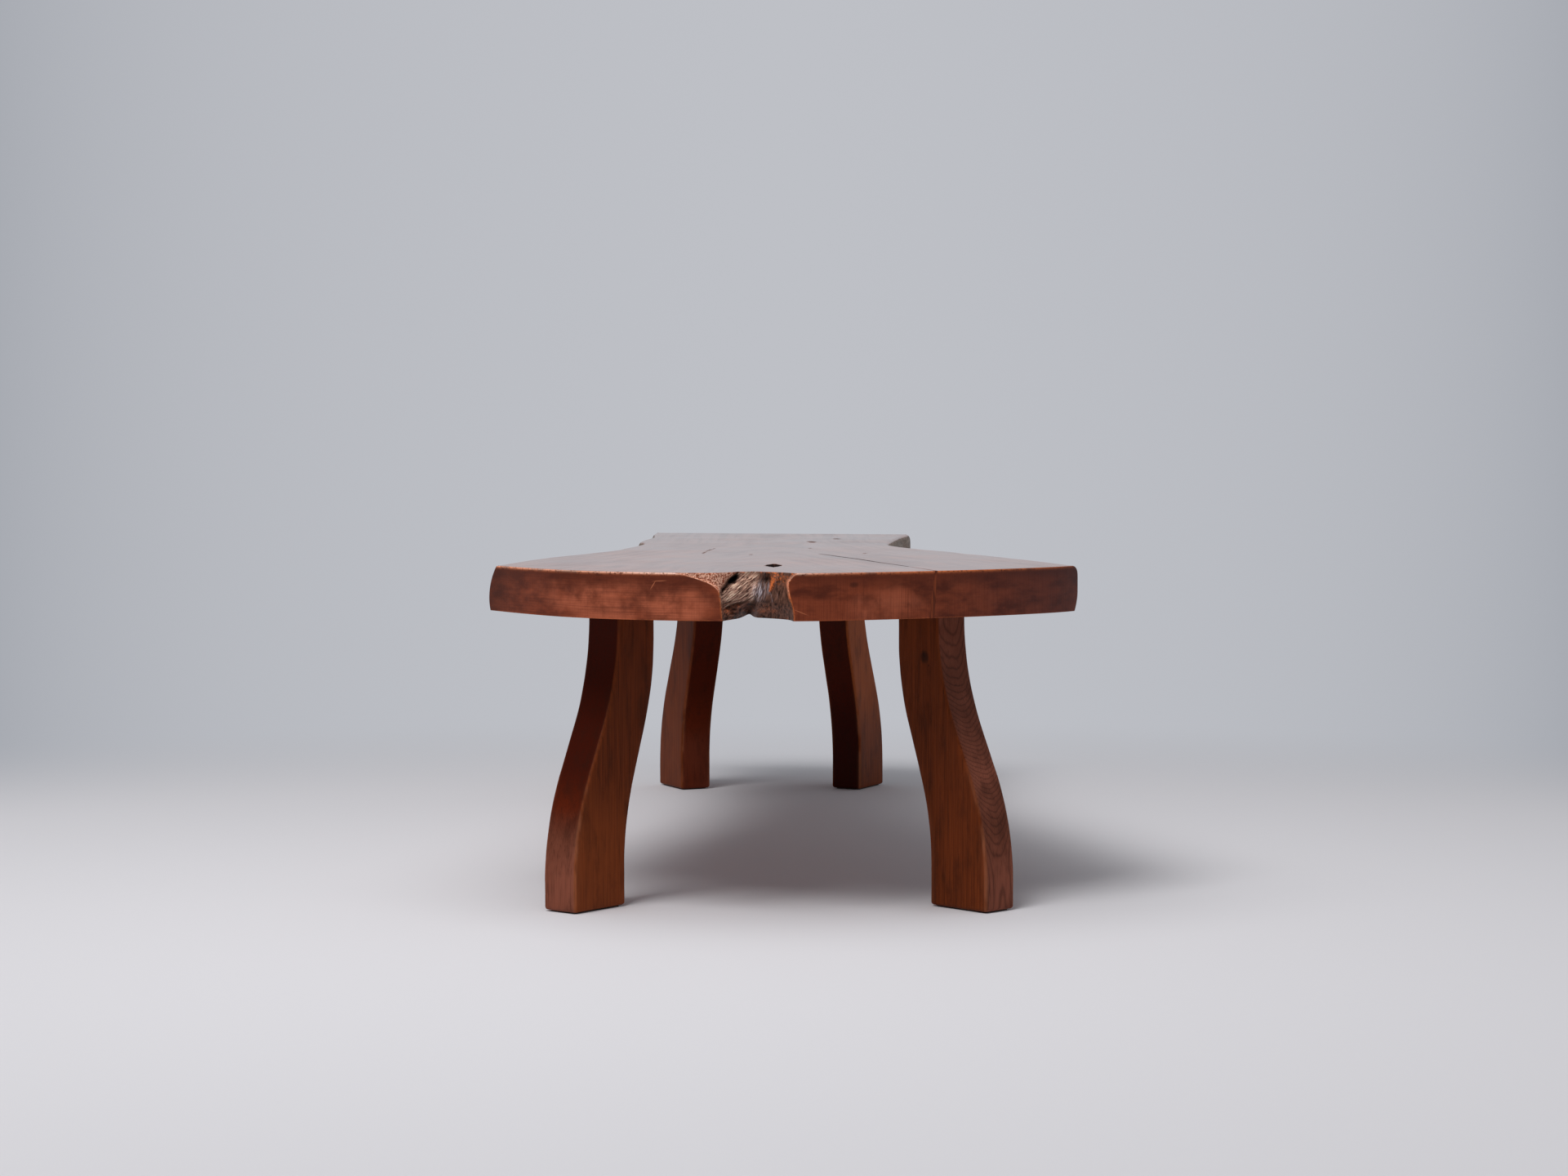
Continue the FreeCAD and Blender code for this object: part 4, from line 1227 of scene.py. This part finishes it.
def s_leg(name, material):
    """A leg: rounded sections carried up its two S-curved edges, closed at the sole and at the
    shoulder, with the kerfed tenon above it."""
    leg = LEGS[name]
    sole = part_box(f"{name}_foot_pad")[1][2] / MM
    shoulder = UNDER_Z / MM
    heights = np.linspace(sole + LEG_ROW_START, shoulder, LEG_ROWS)
    heights = np.concatenate([sole + np.array(SOLE_ROWS), heights])
    outer = s_edge(0.5, OUTER_STRAIGHTS, heights, sole, shoulder)
    inner = s_edge(-0.5, INNER_STRAIGHTS, heights, sole, shoulder)
    seed = 101 + list(LEGS).index(name) * 10
    radius = LEG_ARRIS * (1 + 0.12 * layered_noise(seed, heights / 30))
    rings = rounded_ring(inner, outer, np.full(len(heights), LEG_STOCK / 2), radius)
    inset = arris_inset(LEG_ARRIS, heights - sole)
    middle = np.stack([(inner + outer) / 2, np.zeros(len(heights))], axis=-1)[:, None, :]
    spread = np.abs(rings - middle).max(axis=1, keepdims=True)
    rings = middle + (rings - middle) * (1 - inset[:, None, None] / spread)
    wave = layered_noise(seed + 3, heights[:, None] / 45, np.arange(rings.shape[1]) / 9)
    away = (rings - middle) / np.linalg.norm(rings - middle, axis=-1, keepdims=True)
    rings = rings - away * (LEG_WAVER * (1 + wave[..., None]))
    points = raised(turned(rings, name) * MM, heights[:, None, None] * MM)[::-1]
    local = raised(rings, heights[:, None, None])[::-1]

    corner = np.tile(np.concatenate([np.hanning(ARC_POINTS + 2)[1:-1], np.zeros(SIDE_POINTS)]), 4)
    wear = (0.1 + 0.9 * smooth_step(*WORN_PART, heights[::-1, None])) * corner * leg["wear_share"]
    # How rosy the curved faces and how pale the wide faces are, from shoulder to foot: partly their own
    # tone, partly painted light and shade.
    low_part = smooth_step(*LOW_PART, heights[::-1, None])
    rose, light = (
        top + (foot - top) * low_part for top, foot in (leg["rose_and_lit_shares"], leg["pale_and_lit_shares"])
    )
    surface = Surface(*LEG_MASKS)
    masks = {"figure": leg["ring_share"], "worn": wear, "rose": rose, "light": light}
    surface.add_block(surface.add_vertices(points, **masks))
    tenon_points, tenon_local = tenon(name, shoulder)
    block = surface.add_vertices(tenon_points)
    surface.add_wall(block, smooth=False)
    quads = np.array(TENON_QUADS)
    surface.add_faces(block[0][quads], smooth=False)
    surface.add_faces(block[-1][quads[:, ::-1]], smooth=False)
    plank = np.concatenate([local.reshape(-1, 3), tenon_local.reshape(-1, 3)]) * MM
    return make_piece(f"{name}_s_leg", surface, material, "leg_wood", f"{name}_leg", plank=plank)


def tenon(name, shoulder):
    """The kerfed tenon: its side view with the tapered kerf, carried across its thickness. It comes
    at its place in metres, and in the plank's own millimetres."""
    half = TENON_WIDTH / 2
    base = shoulder - TENON_BITE
    crest = shoulder + TENON_LENGTH
    kerf_foot = crest - KERF_DEPTH
    tip, mouth = (width / 2 for width in KERF_WIDTHS)
    outline = np.array([
        (-tip, kerf_foot), (-mouth, crest), (-half, crest), (-half, base),
        (half, base), (half, crest), (mouth, crest), (tip, kerf_foot),
    ])
    sides = np.array([-0.5, 0.5])[:, None] * TENON_THICKNESS
    plan = np.stack(np.broadcast_arrays(outline[:, 0], sides), axis=-1)
    return raised(turned(plan, name) * MM, outline[:, 1:] * MM), raised(plan, outline[:, 1:])


def crack_strip(material):
    """The thin strip in the crack's mouth: a wedge that fills its slot from face to face."""
    depth = np.linspace(0, 1, STRIP_ROWS)
    centre = read_table(STRIP_CENTRE, depth)
    half = read_table(STRIP_WIDTH, depth) / 2
    across = np.linspace(0, 1, STRIP_FACE_POINTS)
    face = saw_face(RIGHT_SAW_CUT, centre - half, centre + half, across)
    tip = (face[:, :1] + face[:, -1:]) / 2 + CRACK_AHEAD * (STRIP_LENGTH - STRIP_END_GAP)
    tip_half = CRACK_ASIDE * (STRIP_TIP_WIDTH / 2 - STRIP_GAP)
    share = np.linspace(0, 1, STRIP_SIDE_POINTS)[:, None]
    right = face[:, -1:] + (tip + tip_half - face[:, -1:]) * share
    left = tip - tip_half + (face[:, :1] - tip + tip_half) * share
    loops = np.concatenate([face[:, :-1], right, left[:, :-1]], axis=1)
    points = raised(loops * MM, TOP_Z - depth[:, None, None] * SLAB_THICKNESS)
    surface = Surface()
    surface.add_block(surface.add_vertices(points), smooth=False)
    return make_piece("crack_strip", surface, material, "spline_wood", "crack_spline")


def maths(operation):
    """A field's method that joins it and other values by a maths node."""
    return lambda self, *others: self.shader.maths(operation, self, *others)


class Field:
    """A number or colour in a shader's nodes. Python's signs and the methods add nodes to it."""

    __add__ = __radd__ = maths("ADD")
    __sub__ = maths("SUBTRACT")
    __mul__ = __rmul__ = maths("MULTIPLY")
    __truediv__ = maths("DIVIDE")
    __pow__ = maths("POWER")
    sine = maths("SINE")
    size = maths("ABSOLUTE")
    at_least = maths("MAXIMUM")
    at_most = maths("MINIMUM")

    def __init__(self, shader, socket):
        self.shader = shader
        self.socket = socket

    def __rsub__(self, other):
        return self.shader.maths("SUBTRACT", other, self)

    def ramp(self, low, high):
        """0 at the low value, 1 at the high one and an even S-curve between them."""
        inputs = (self, low, high, 0.0, 1.0)
        return self.shader.made("ShaderNodeMapRange", *inputs, interpolation_type="SMOOTHSTEP")


class Shader:
    """The nodes of a new material or world."""

    def __init__(self, holder):
        holder.use_nodes = True
        self.holder = holder
        self.tree = holder.node_tree

    def join(self, socket, value):
        """Links a field to an input, or sets a plain value on it. None leaves it as it is."""
        if isinstance(value, Field):
            self.tree.links.new(value.socket, socket)
        elif isinstance(value, tuple) and socket.type == "RGBA":
            socket.default_value = (*value, 1)
        elif value is not None:
            socket.default_value = value

    def made(self, kind, *values, inputs=None, output=0, **settings):
        """An output of a new node, with values for its first inputs or for the named ones."""
        node = self.tree.nodes.new(kind)
        for key, value in settings.items():
            setattr(node, key, value)
        for key, value in zip(inputs or range(len(values)), values):
            self.join(node.inputs[key], value)
        return Field(self, node.outputs[output])

    def maths(self, operation, *values):
        """One sum on numbers."""
        return self.made("ShaderNodeMath", *values, operation=operation)

    def place(self):
        """The piece's own coordinates, in metres."""
        return self.made("ShaderNodeTexCoord", output="Object")

    def attribute(self, name, output="Fac"):
        """A value or vector stored on the mesh."""
        return self.made("ShaderNodeAttribute", attribute_name=name, output=output)

    def split(self, vector):
        """The three parts of a vector."""
        first = self.made("ShaderNodeSeparateXYZ", vector)
        return [Field(self, socket) for socket in first.socket.node.outputs]

    def noise(self, vector, stretch, detail, roughness=0.5, turn=0):
        """Noise that wavers about a half. Its vector may be turned about the slab's length, and
        then each axis may be stretched by its own factor."""
        if turn:
            angles = (0, math.radians(turn), 0)
            vector = self.made("ShaderNodeMapping", vector, angles, inputs=("Vector", "Rotation"))
        if isinstance(stretch, tuple):
            vector = self.made("ShaderNodeMapping", vector, stretch, inputs=("Vector", "Scale"))
            stretch = 1.0
        inputs = ("Vector", "Scale", "Detail", "Roughness")
        return self.made("ShaderNodeTexNoise", vector, stretch, detail, roughness, inputs=inputs)

    def noises(self, vector, table):
        """All noises of a table by name."""
        return SimpleNamespace(**{name: self.noise(vector, *row) for name, row in table.items()})

    def layered(self, colour, *layers):
        """A colour with others laid over it in turn, each given by its share and itself."""
        for share, layer in layers:
            values = (share, colour, layer)
            colour = self.made("ShaderNodeMix", *values, data_type="RGBA", inputs=MIX_INPUTS, output=2)
        return colour

    def finish(self, colour, roughness, height=None, relief=0.0, specular=0.5):
        """Joins the colour, the roughness and a relief height in metres to the surface."""
        surface = self.tree.nodes["Principled BSDF"].inputs
        surface["Specular IOR Level"].default_value = specular
        self.join(surface["Base Color"], colour)
        self.join(surface["Roughness"], roughness)
        if height is not None:
            bump = self.made("ShaderNodeBump", relief, height, inputs=("Distance", "Height"))
            self.join(surface["Normal"], bump)
        return self.holder


def crotch_rings(x, y, z, sway):
    """The distance from the nearer pith: one pith runs along the trunk and forks into both limbs,
    so the rings fan out and meet in the crotch. Two distances blend where they are nearly alike."""
    fork = (FORK_Y - y).at_least(0.0) * LIMB_SPREAD
    below = (z - PITH_Z) * (z - PITH_Z)
    middle = x - PITH_X + (sway - 0.5) * PITH_SWAY
    to_left = ((middle + fork) * (middle + fork) + below) ** 0.5
    to_right = ((middle - fork) * (middle - fork) + below) ** 0.5
    nearer = x.shader.maths("SMOOTH_MIN", to_left, to_right, LIMB_BLEND)
    return nearer + (sway - 0.5) * RING_SWAY


def oval(x, y, centre_x, centre_y, half_x, half_y, turn=0):
    """A soft oval mark: 1 in its middle and 0 at its edge, at a place, with two half lengths, all in
    millimetres, and a turn in degrees."""
    cos = math.cos(math.radians(turn))
    sin = math.sin(math.radians(turn))
    across = ((x - centre_x * MM) * cos + (y - centre_y * MM) * sin) / (half_x * MM)
    along = ((y - centre_y * MM) * cos - (x - centre_x * MM) * sin) / (half_y * MM)
    return 1.0 - (across * across + along * along).ramp(0.0, 1.0)


def top_colour(shader, grain, line):
    """The upper face: two browns in clouds, darkened by its figure, its ring lines and fibres."""
    return shader.layered(
        TOP_BROWN,
        (grain.cloud.ramp(0.3, 0.7), TOP_RED),
        (grain.figure.ramp(0.45, 0.7) * 0.3, TOP_DARK),
        (line * 0.6, TOP_DARK),
        (grain.fibre.ramp(0.55, 0.75) * 0.35, TOP_DARK),
    )


def saw_cut_colour(shader, grain, x, below_top, front, stain):
    """The saw cuts: stained end grain in patches, with random blotches and pools of painted light.
    It darkens below the upper arris, with painted shade towards both ends, and in saw lines, and
    the near cut has scratches and marks."""
    # The glow is random blotches in the stain, plus pools of painted light at the listed places.
    glow = (grain.blotch.ramp(0.35, 0.75) - 0.5) * 0.4
    for *mark, strength in FACE_PAINTED_LIGHTS:
        glow = glow + oval(x, below_top, *mark) * strength
    right_limb = x.ramp(*RIGHT_LIMB)
    return shader.layered(
        FACE_DARK,
        (grain.patch.ramp(0.3, 0.65), stain),
        (glow * grain.blotch.ramp(0.2, 0.6) * 0.85, FACE_GLOW),
        ((1.0 - (0.0 - below_top).ramp(*ARRIS_SHADE)) * 0.75, FACE_DARK),
        # Painted shade towards the right end and towards the left end.
        (x.ramp(*RIGHT_END_SHADE) * 0.5, FACE_END_SHADE),
        (x.ramp(*LEFT_END_SHADE) * 0.5, FACE_SHADE_BROWN),
        (grain.saw_lines.ramp(0.42, 0.7) * (right_limb * 0.3 + 0.15), FACE_DARK),
        (grain.level_lines.ramp(0.42, 0.68) * (0.42 - right_limb * 0.32), FACE_DARK),
        *((oval(x, below_top, *mark) * front * 0.6, SCRATCH) for mark in FACE_SCRATCHES),
        *((oval(x, below_top, *mark) * front * 0.5, INK_AND_SHADE) for mark in FACE_MARKS),
    )


def bark_colour(shader, grain, masks, crust):
    """The hollow: layers of bark, over which lie reddish lumps, pale fibrous ribs, a smooth glaze
    with streaks of painted sheen, and a net of tan wood at the wane."""
    rib = (grain.ribbed.ramp(0.38, 0.54), RIB_BROWN), (grain.ribbed.ramp(0.55, 0.66), RIB_PALE)
    return shader.layered(
        BARK_DARK,
        (crust.ramp(0.4, 0.62), BARK_BROWN),
        (crust.ramp(0.6, 0.68) * 0.4, RIB_BROWN),
        (masks.lumps, BARK_RED),
        (masks.ribs, shader.layered(RIB_DARK, *rib)),
        (masks.glaze * 0.95, shader.layered(GLAZE_DARK, (grain.fluted.ramp(0.42, 0.58), GLAZE_PALE))),
        (masks.wane, shader.layered(WANE_DARK, (grain.net.ramp(0.42, 0.58), WANE_TAN))),
    )


def slab_wood(settings):
    """Stained crotch wood: fanning rings under a satin polish on top, blotched and finely sawn end
    grain with painted light and shade, weathered live edges, bark in the hollow with painted shade
    and sheen, worn arrises, and dark cracks and knots."""
    shader = Shader(bpy.data.materials.new("slab_wood"))
    place = shader.place()
    x, y, z = shader.split(place)
    below_top = z - TOP_Z
    up = shader.split(shader.made("ShaderNodeNewGeometry", output="Normal"))[2].ramp(0.55, 0.9)
    upright = 1.0 - up
    front = (NEAR_END_Y - y).ramp(*NEAR_FADE) * upright
    masks = SimpleNamespace(**{name: shader.attribute(name) for name in SLAB_MASKS})
    grain = shader.noises(place, SLAB_NOISES)
    rings = crotch_rings(x, y, z, grain.sway)
    growth = shader.made("ShaderNodeCombineXYZ", rings / RING_STEP, x * 5.0, y * 3.0)
    line = shader.noise(growth, 1.0, 4, 0.62).ramp(0.4, 0.68)
    sheaf = (grain.sheaf - 0.5) * 0.5 + 0.5
    crust = grain.strata + (sheaf - grain.strata) * x.ramp(*SHEAF_START)
    # The dark marks on top join the painted shade of the hollow and the dark insides of the knot hole
    # and crack.
    marks = masks.ink
    for *mark, strength in TOP_MARKS:
        wavering = x + (grain.blotch - 0.5) * TOP_MARK_WAVER
        marks = marks.at_least(oval(wavering, y, *mark) * up * strength)
    side = (grain.ridged.ramp(0.34, 0.7), SIDE_GREY), (grain.figure.ramp(0.42, 0.62) * 0.6, SIDE_BROWN)
    edge = shader.layered(
        WORN_DARK,
        (grain.blotch.ramp(0.3, 0.5), WORN_ORANGE),
        (masks.pale * grain.bright.ramp(0.1, 0.4), ARRIS_PALE),
    )
    colour = shader.layered(
        saw_cut_colour(shader, grain, x, below_top, front, settings.face_colour[:]),
        (up, top_colour(shader, grain, line)),
        (masks.live * upright, shader.layered(SIDE_DARK, *side)),
        (masks.bark, bark_colour(shader, grain, masks, crust)),
        (masks.worn * grain.bright.ramp(0.3, 0.5), edge),
        (marks, INK_AND_SHADE),
    )
    polish = 0.445 - grain.figure * 0.07 - line * grain.figure * 0.03
    gloss = 0.5 - masks.glaze * 0.12 + (grain.cloud - 0.5) * 0.08
    gloss = gloss - up * (1.0 - masks.bark) * polish + marks * 0.5
    skin = crust * 0.8 + masks.ribs * grain.ribbed * 1.2 + masks.glaze * grain.fluted * 0.8
    relief = grain.saw_lines * upright * 0.2 + grain.fibre * 0.03
    relief = relief + grain.ridged * masks.live * upright + masks.bark * skin
    return shader.finish(colour, gloss, relief, SLAB_RELIEF, specular=0.1)


def leg_wood(settings):
    """Stained plank: rings nearly square to the plank's width, so the wide faces show fine straight
    grain and the curved ones show arcs, where the leg has them. Its upright arrises are worn, and
    its faces carry painted light and shade from the shoulder to the foot."""
    shader = Shader(bpy.data.materials.new("leg_wood"))
    plank = shader.attribute("plank", "Vector")
    u, w, z = shader.split(plank)
    masks = SimpleNamespace(**{name: shader.attribute(name) for name in LEG_MASKS})
    grain = shader.noises(plank, LEG_NOISES)
    rings = u + w * w * LEG_RING_CURVE + (grain.sway - 0.5) * LEG_RING_SWAY
    rings = rings + (grain.ripple - 0.5) * LEG_RING_RIPPLE
    line = ((rings * (2 * math.pi / LEG_RING_STEP)).sine() * 0.5 + 0.5) ** 5.0
    flat = (grain.streak.ramp(0.0, 1.0), settings.leg_colour[:]), (masks.light, WIDE_PALE_LIT)
    rosy_lit = shader.layered(ROSE_DARK, (grain.cloud.ramp(0.3, 0.7), ROSE_PALE))
    knots = masks.figure.ramp(0.8, 0.9) * w.ramp(0.0, -0.02)
    wavering = u + (grain.ripple - 0.5) * KNOT_MARK_WAVER
    colour = shader.layered(
        ROUND_DARK,
        # Dark to rosy curved faces: partly their own tone, partly painted shade and painted light.
        (masks.rose.ramp(0.0, 0.6), ROUND_RED),
        (masks.rose.ramp(0.5, 1.0), rosy_lit),
        (line * masks.figure * 0.5, LEG_LINE),
        # Paler wide faces: partly their own tone, partly painted light.
        (w.size().ramp(*WIDE_FACE), shader.layered(WIDE_DARK, *flat)),
        (grain.smudge.ramp(0.47, 0.68) * 0.42, LEG_LINE),
        (grain.fibre.ramp(0.5, 0.75) * 0.5, LEG_LINE),
        *((oval(wavering, z, *mark) * knots * 0.8, LEG_LINE) for mark in LEG_KNOTS),
        (masks.worn * grain.ripple.ramp(0.35, 0.6), LEG_WORN),
    )
    gloss = 0.46 + (grain.cloud - 0.5) * 0.12
    relief = grain.fibre * 0.5 - line * masks.figure * 0.3
    return shader.finish(colour, gloss, relief, LEG_RELIEF, specular=0.05)


def strip_wood():
    """The strip's reddish wood, with fine grain along it."""
    shader = Shader(bpy.data.materials.new("strip_wood"))
    grain = shader.noise(shader.place(), (700, 60, 45), 3)
    colour = shader.layered(STRIP_DARK, (grain.ramp(0.35, 0.68), STRIP_BROWN))
    return shader.finish(colour, 0.45, grain, STRIP_RELIEF, specular=0.1)


def felt():
    """Dark felt: matted fibres."""
    shader = Shader(bpy.data.materials.new("felt"))
    fibres = shader.noise(shader.place(), 900.0, 4, 0.7)
    colour = shader.layered(FELT_DARK, (fibres.ramp(0.35, 0.65), FELT_GREY))
    return shader.finish(colour, 0.95, fibres, FELT_RELIEF)


class SlabSettings(bpy.types.PropertyGroup):
    """What a user would change on the slab."""

    face_colour: FloatVectorProperty(
        name="Saw Cut Colour",
        description="Colour of the stained end grain on the slab's saw cuts",
        default=paint(132, 62, 38),
        subtype="COLOR",
        min=0,
        max=1,
    )


class LegSettings(bpy.types.PropertyGroup):
    """What a user would change on the legs."""

    leg_colour: FloatVectorProperty(
        name="Leg Colour",
        description="Colour of the stained legs",
        default=paint(120, 55, 23),
        subtype="COLOR",
        min=0,
        max=1,
    )


class StageSettings(bpy.types.PropertyGroup):
    """What a user would change in the studio."""

    key_power: FloatProperty(
        name="Key Light Power",
        description="Power of the large soft light at the upper left",
        default=462,
        min=0,
        unit="POWER",
    )
    key_size: FloatProperty(
        name="Key Light Size",
        description="Side of the large soft light",
        default=3.9,
        min=0.1,
        unit="LENGTH",
    )


class SLAB_TABLE_OT_slab(bpy.types.Operator):
    """Make the crotch-cut slab with its bark hollow"""

    bl_idname = "slab_table.slab"
    bl_label = "Crotch Slab"

    def execute(self, context):
        crotch_slab(context.scene.slab_settings)
        return {"FINISHED"}


class SLAB_TABLE_OT_strip(bpy.types.Operator):
    """Make the thin strip let into the crack"""

    bl_idname = "slab_table.strip"
    bl_label = "Crack Strip"

    def execute(self, context):
        crack_strip(strip_wood())
        return {"FINISHED"}


class SLAB_TABLE_OT_legs(bpy.types.Operator):
    """Make the four S-curved legs and finish their wedges and pads"""

    bl_idname = "slab_table.legs"
    bl_label = "Legs"

    def execute(self, context):
        material = leg_wood(context.scene.leg_settings)
        wedge_finish = strip_wood()
        pad_finish = felt()
        for name in LEGS:
            s_leg(name, material)
            refinish(f"{name}_fox_wedge", wedge_finish)
            refinish(f"{name}_foot_pad", pad_finish)
        return {"FINISHED"}


def refinish(node, material):
    """Gives a piece of the frame a better finish."""
    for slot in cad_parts[node].material_slots:
        slot.material = material


class SLAB_TABLE_OT_stage(bpy.types.Operator):
    """Set up the studio and the photograph's camera"""

    bl_idname = "slab_table.stage"
    bl_label = "Studio"

    def execute(self, context):
        photograph_camera(context.scene)
        studio(context.scene)
        return {"FINISHED"}


def photograph_camera(scene):
    """A camera at the photograph's place, tilted so that the horizon lies where it is there."""
    data = bpy.data.cameras.new("camera")
    data.sensor_width = SENSOR_WIDTH
    data.lens = SENSOR_WIDTH * FOCAL_PIXELS / FRAME_WIDTH
    camera = bpy.data.objects.new("camera", data)
    camera.location = CAMERA_PLACE
    tilt = math.atan((FRAME_HEIGHT / 2 - HORIZON_ROW) / FOCAL_PIXELS)
    camera.rotation_euler = (math.pi / 2 - tilt, 0, 0)
    scene.collection.objects.link(camera)
    scene.camera = camera


def backdrop_colour(shader, x, y, ahead):
    """The backdrop's colour by direction in plan: bright straight ahead, darker beside that and
    plain everywhere else. The share ahead is nil where the part ahead doesn't show."""
    across = x.size() / (x * x + y * y) ** 0.5
    share = across / BACKDROP_SPREAD
    fall = (share**1.4 * 0.33 + share**6.0 * 0.67).at_most(1.0)
    plain = across.ramp(*PLAIN_SPREAD).at_least(1.0 - ahead)
    return shader.layered(BACKDROP_MIDDLE, (fall, BACKDROP_SIDE), (plain, BACKDROP_PLAIN))


def studio(scene):
    """A pale seamless studio: a lit floor that passes into the backdrop's colour some way behind
    the table, a backdrop that is dimmer at the left and behind the camera and paler at the right
    above what the camera sees, one large soft light, and a small one over the near end."""
    settings = scene.stage_settings
    scene.view_settings.view_transform = "Standard"
    sky = Shader(bpy.data.worlds.new("studio"))
    scene.world = sky.holder
    x, y, z = sky.split(sky.made("ShaderNodeTexCoord", output="Generated"))
    low = backdrop_colour(sky, x, y, y.ramp(-0.1, 0.3))
    level = (x * x + y * y) ** 0.5
    x = x / level
    y = y / level
    flank = sky.layered(LEFT_FLANK, (x.ramp(-0.1, 0.1), RIGHT_FLANK))
    behind = (0.0 - y).ramp(*BEHIND_SPREAD)
    high = sky.layered(low, (x.size().ramp(*FLANK_SPREAD), flank), (behind, BEHIND_GREY))
    ceiling = z.size().ramp(*BACKDROP_HEIGHTS)
    colour = sky.layered(low, (z.ramp(*FLANK_HEIGHTS), high), (ceiling, CEILING_GREY))
    sky.join(sky.tree.nodes["Background"].inputs["Color"], colour)

    soft_light("key_light", KEY_PLACE, settings.key_power, settings.key_size)
    soft_light("overhead_light", OVERHEAD_PLACE, settings.key_power * OVERHEAD_SHARE, OVERHEAD_SIZE)

    mesh = bpy.data.meshes.new("studio_floor")
    turn = np.linspace(0, 2 * math.pi, FLOOR_SIDES, endpoint=False)
    rim = np.column_stack([np.cos(turn), np.sin(turn), np.zeros(FLOOR_SIDES)]) * FLOOR_RADIUS
    mesh.from_pydata(rim.tolist(), [], [tuple(range(FLOOR_SIDES))])
    mesh.materials.append(floor_paper())
    floor = bpy.data.objects.new("studio_floor", mesh)
    scene.collection.objects.link(floor)


def soft_light(name, place, power, size):
    """A square soft light that faces the table."""
    light = bpy.data.lights.new(name, "AREA")
    light.energy = power
    light.size = size
    lamp = bpy.data.objects.new(name, light)
    lamp.location = place
    lamp.rotation_euler = (Vector(LIGHT_TARGET) - Vector(place)).to_track_quat("-Z", "Y").to_euler()
    lamp.visible_camera = False
    bpy.context.scene.collection.objects.link(lamp)


def floor_paper():
    """Matt paper near the table, which passes into a glow of the backdrop's colour."""
    shader = Shader(bpy.data.materials.new("floor_paper"))
    shader.finish(FLOOR_GREY, 0.9)
    x, y = shader.split(shader.place())[:2]
    ahead = y - FLOOR_CENTRE_Y
    away = (x * x + ahead * ahead) ** 0.5
    colour = backdrop_colour(shader, x, y - CAMERA_PLACE[1], y.ramp(*AHEAD_START))
    glow = shader.made("ShaderNodeEmission", colour)
    paper = Field(shader, shader.tree.nodes["Principled BSDF"].outputs[0])
    blend = shader.made("ShaderNodeMixShader", away.ramp(*FLOOR_FADE), paper, glow)
    shader.join(shader.tree.nodes["Material Output"].inputs["Surface"], blend)
    return shader.holder


# The groups of settings by the names that they have on a scene.
SETTINGS = {
    "slab_settings": SlabSettings,
    "leg_settings": LegSettings,
    "stage_settings": StageSettings,
}

# The panel's rows: a group of settings, those that it shows and the operators below them.
PANEL_ROWS = (
    ("slab_settings", ("face_colour",), ("slab_table.slab", "slab_table.strip")),
    ("leg_settings", ("leg_colour",), ("slab_table.legs",)),
    ("stage_settings", ("key_power", "key_size"), ("slab_table.stage",)),
)


class SLAB_TABLE_PT_panel(bpy.types.Panel):
    """Lists the settings and the pieces of the slab table"""

    bl_label = "Slab Table"
    bl_idname = "SLAB_TABLE_PT_panel"
    bl_space_type = "VIEW_3D"
    bl_region_type = "UI"
    bl_category = "Slab Table"

    def draw(self, context):
        for group, values, makers in PANEL_ROWS:
            for name in values:
                self.layout.prop(getattr(context.scene, group), name)
            for maker in makers:
                self.layout.operator(maker)


CLASSES = (
    *SETTINGS.values(),
    SLAB_TABLE_OT_slab,
    SLAB_TABLE_OT_strip,
    SLAB_TABLE_OT_legs,
    SLAB_TABLE_OT_stage,
    SLAB_TABLE_PT_panel,
)


def register():
    """Registers the classes and gives the scene its settings."""
    for item in CLASSES:
        bpy.utils.register_class(item)
    for name, group in SETTINGS.items():
        setattr(bpy.types.Scene, name, PointerProperty(type=group))


def unregister():
    """Takes the settings and the classes away again."""
    for name in SETTINGS:
        delattr(bpy.types.Scene, name)
    for item in reversed(CLASSES):
        bpy.utils.unregister_class(item)


def main():
    """Makes every piece in order."""
    register()
    bpy.ops.slab_table.stage()
    bpy.ops.slab_table.slab()
    bpy.ops.slab_table.strip()
    bpy.ops.slab_table.legs()


if __name__ == "__main__":
    main()
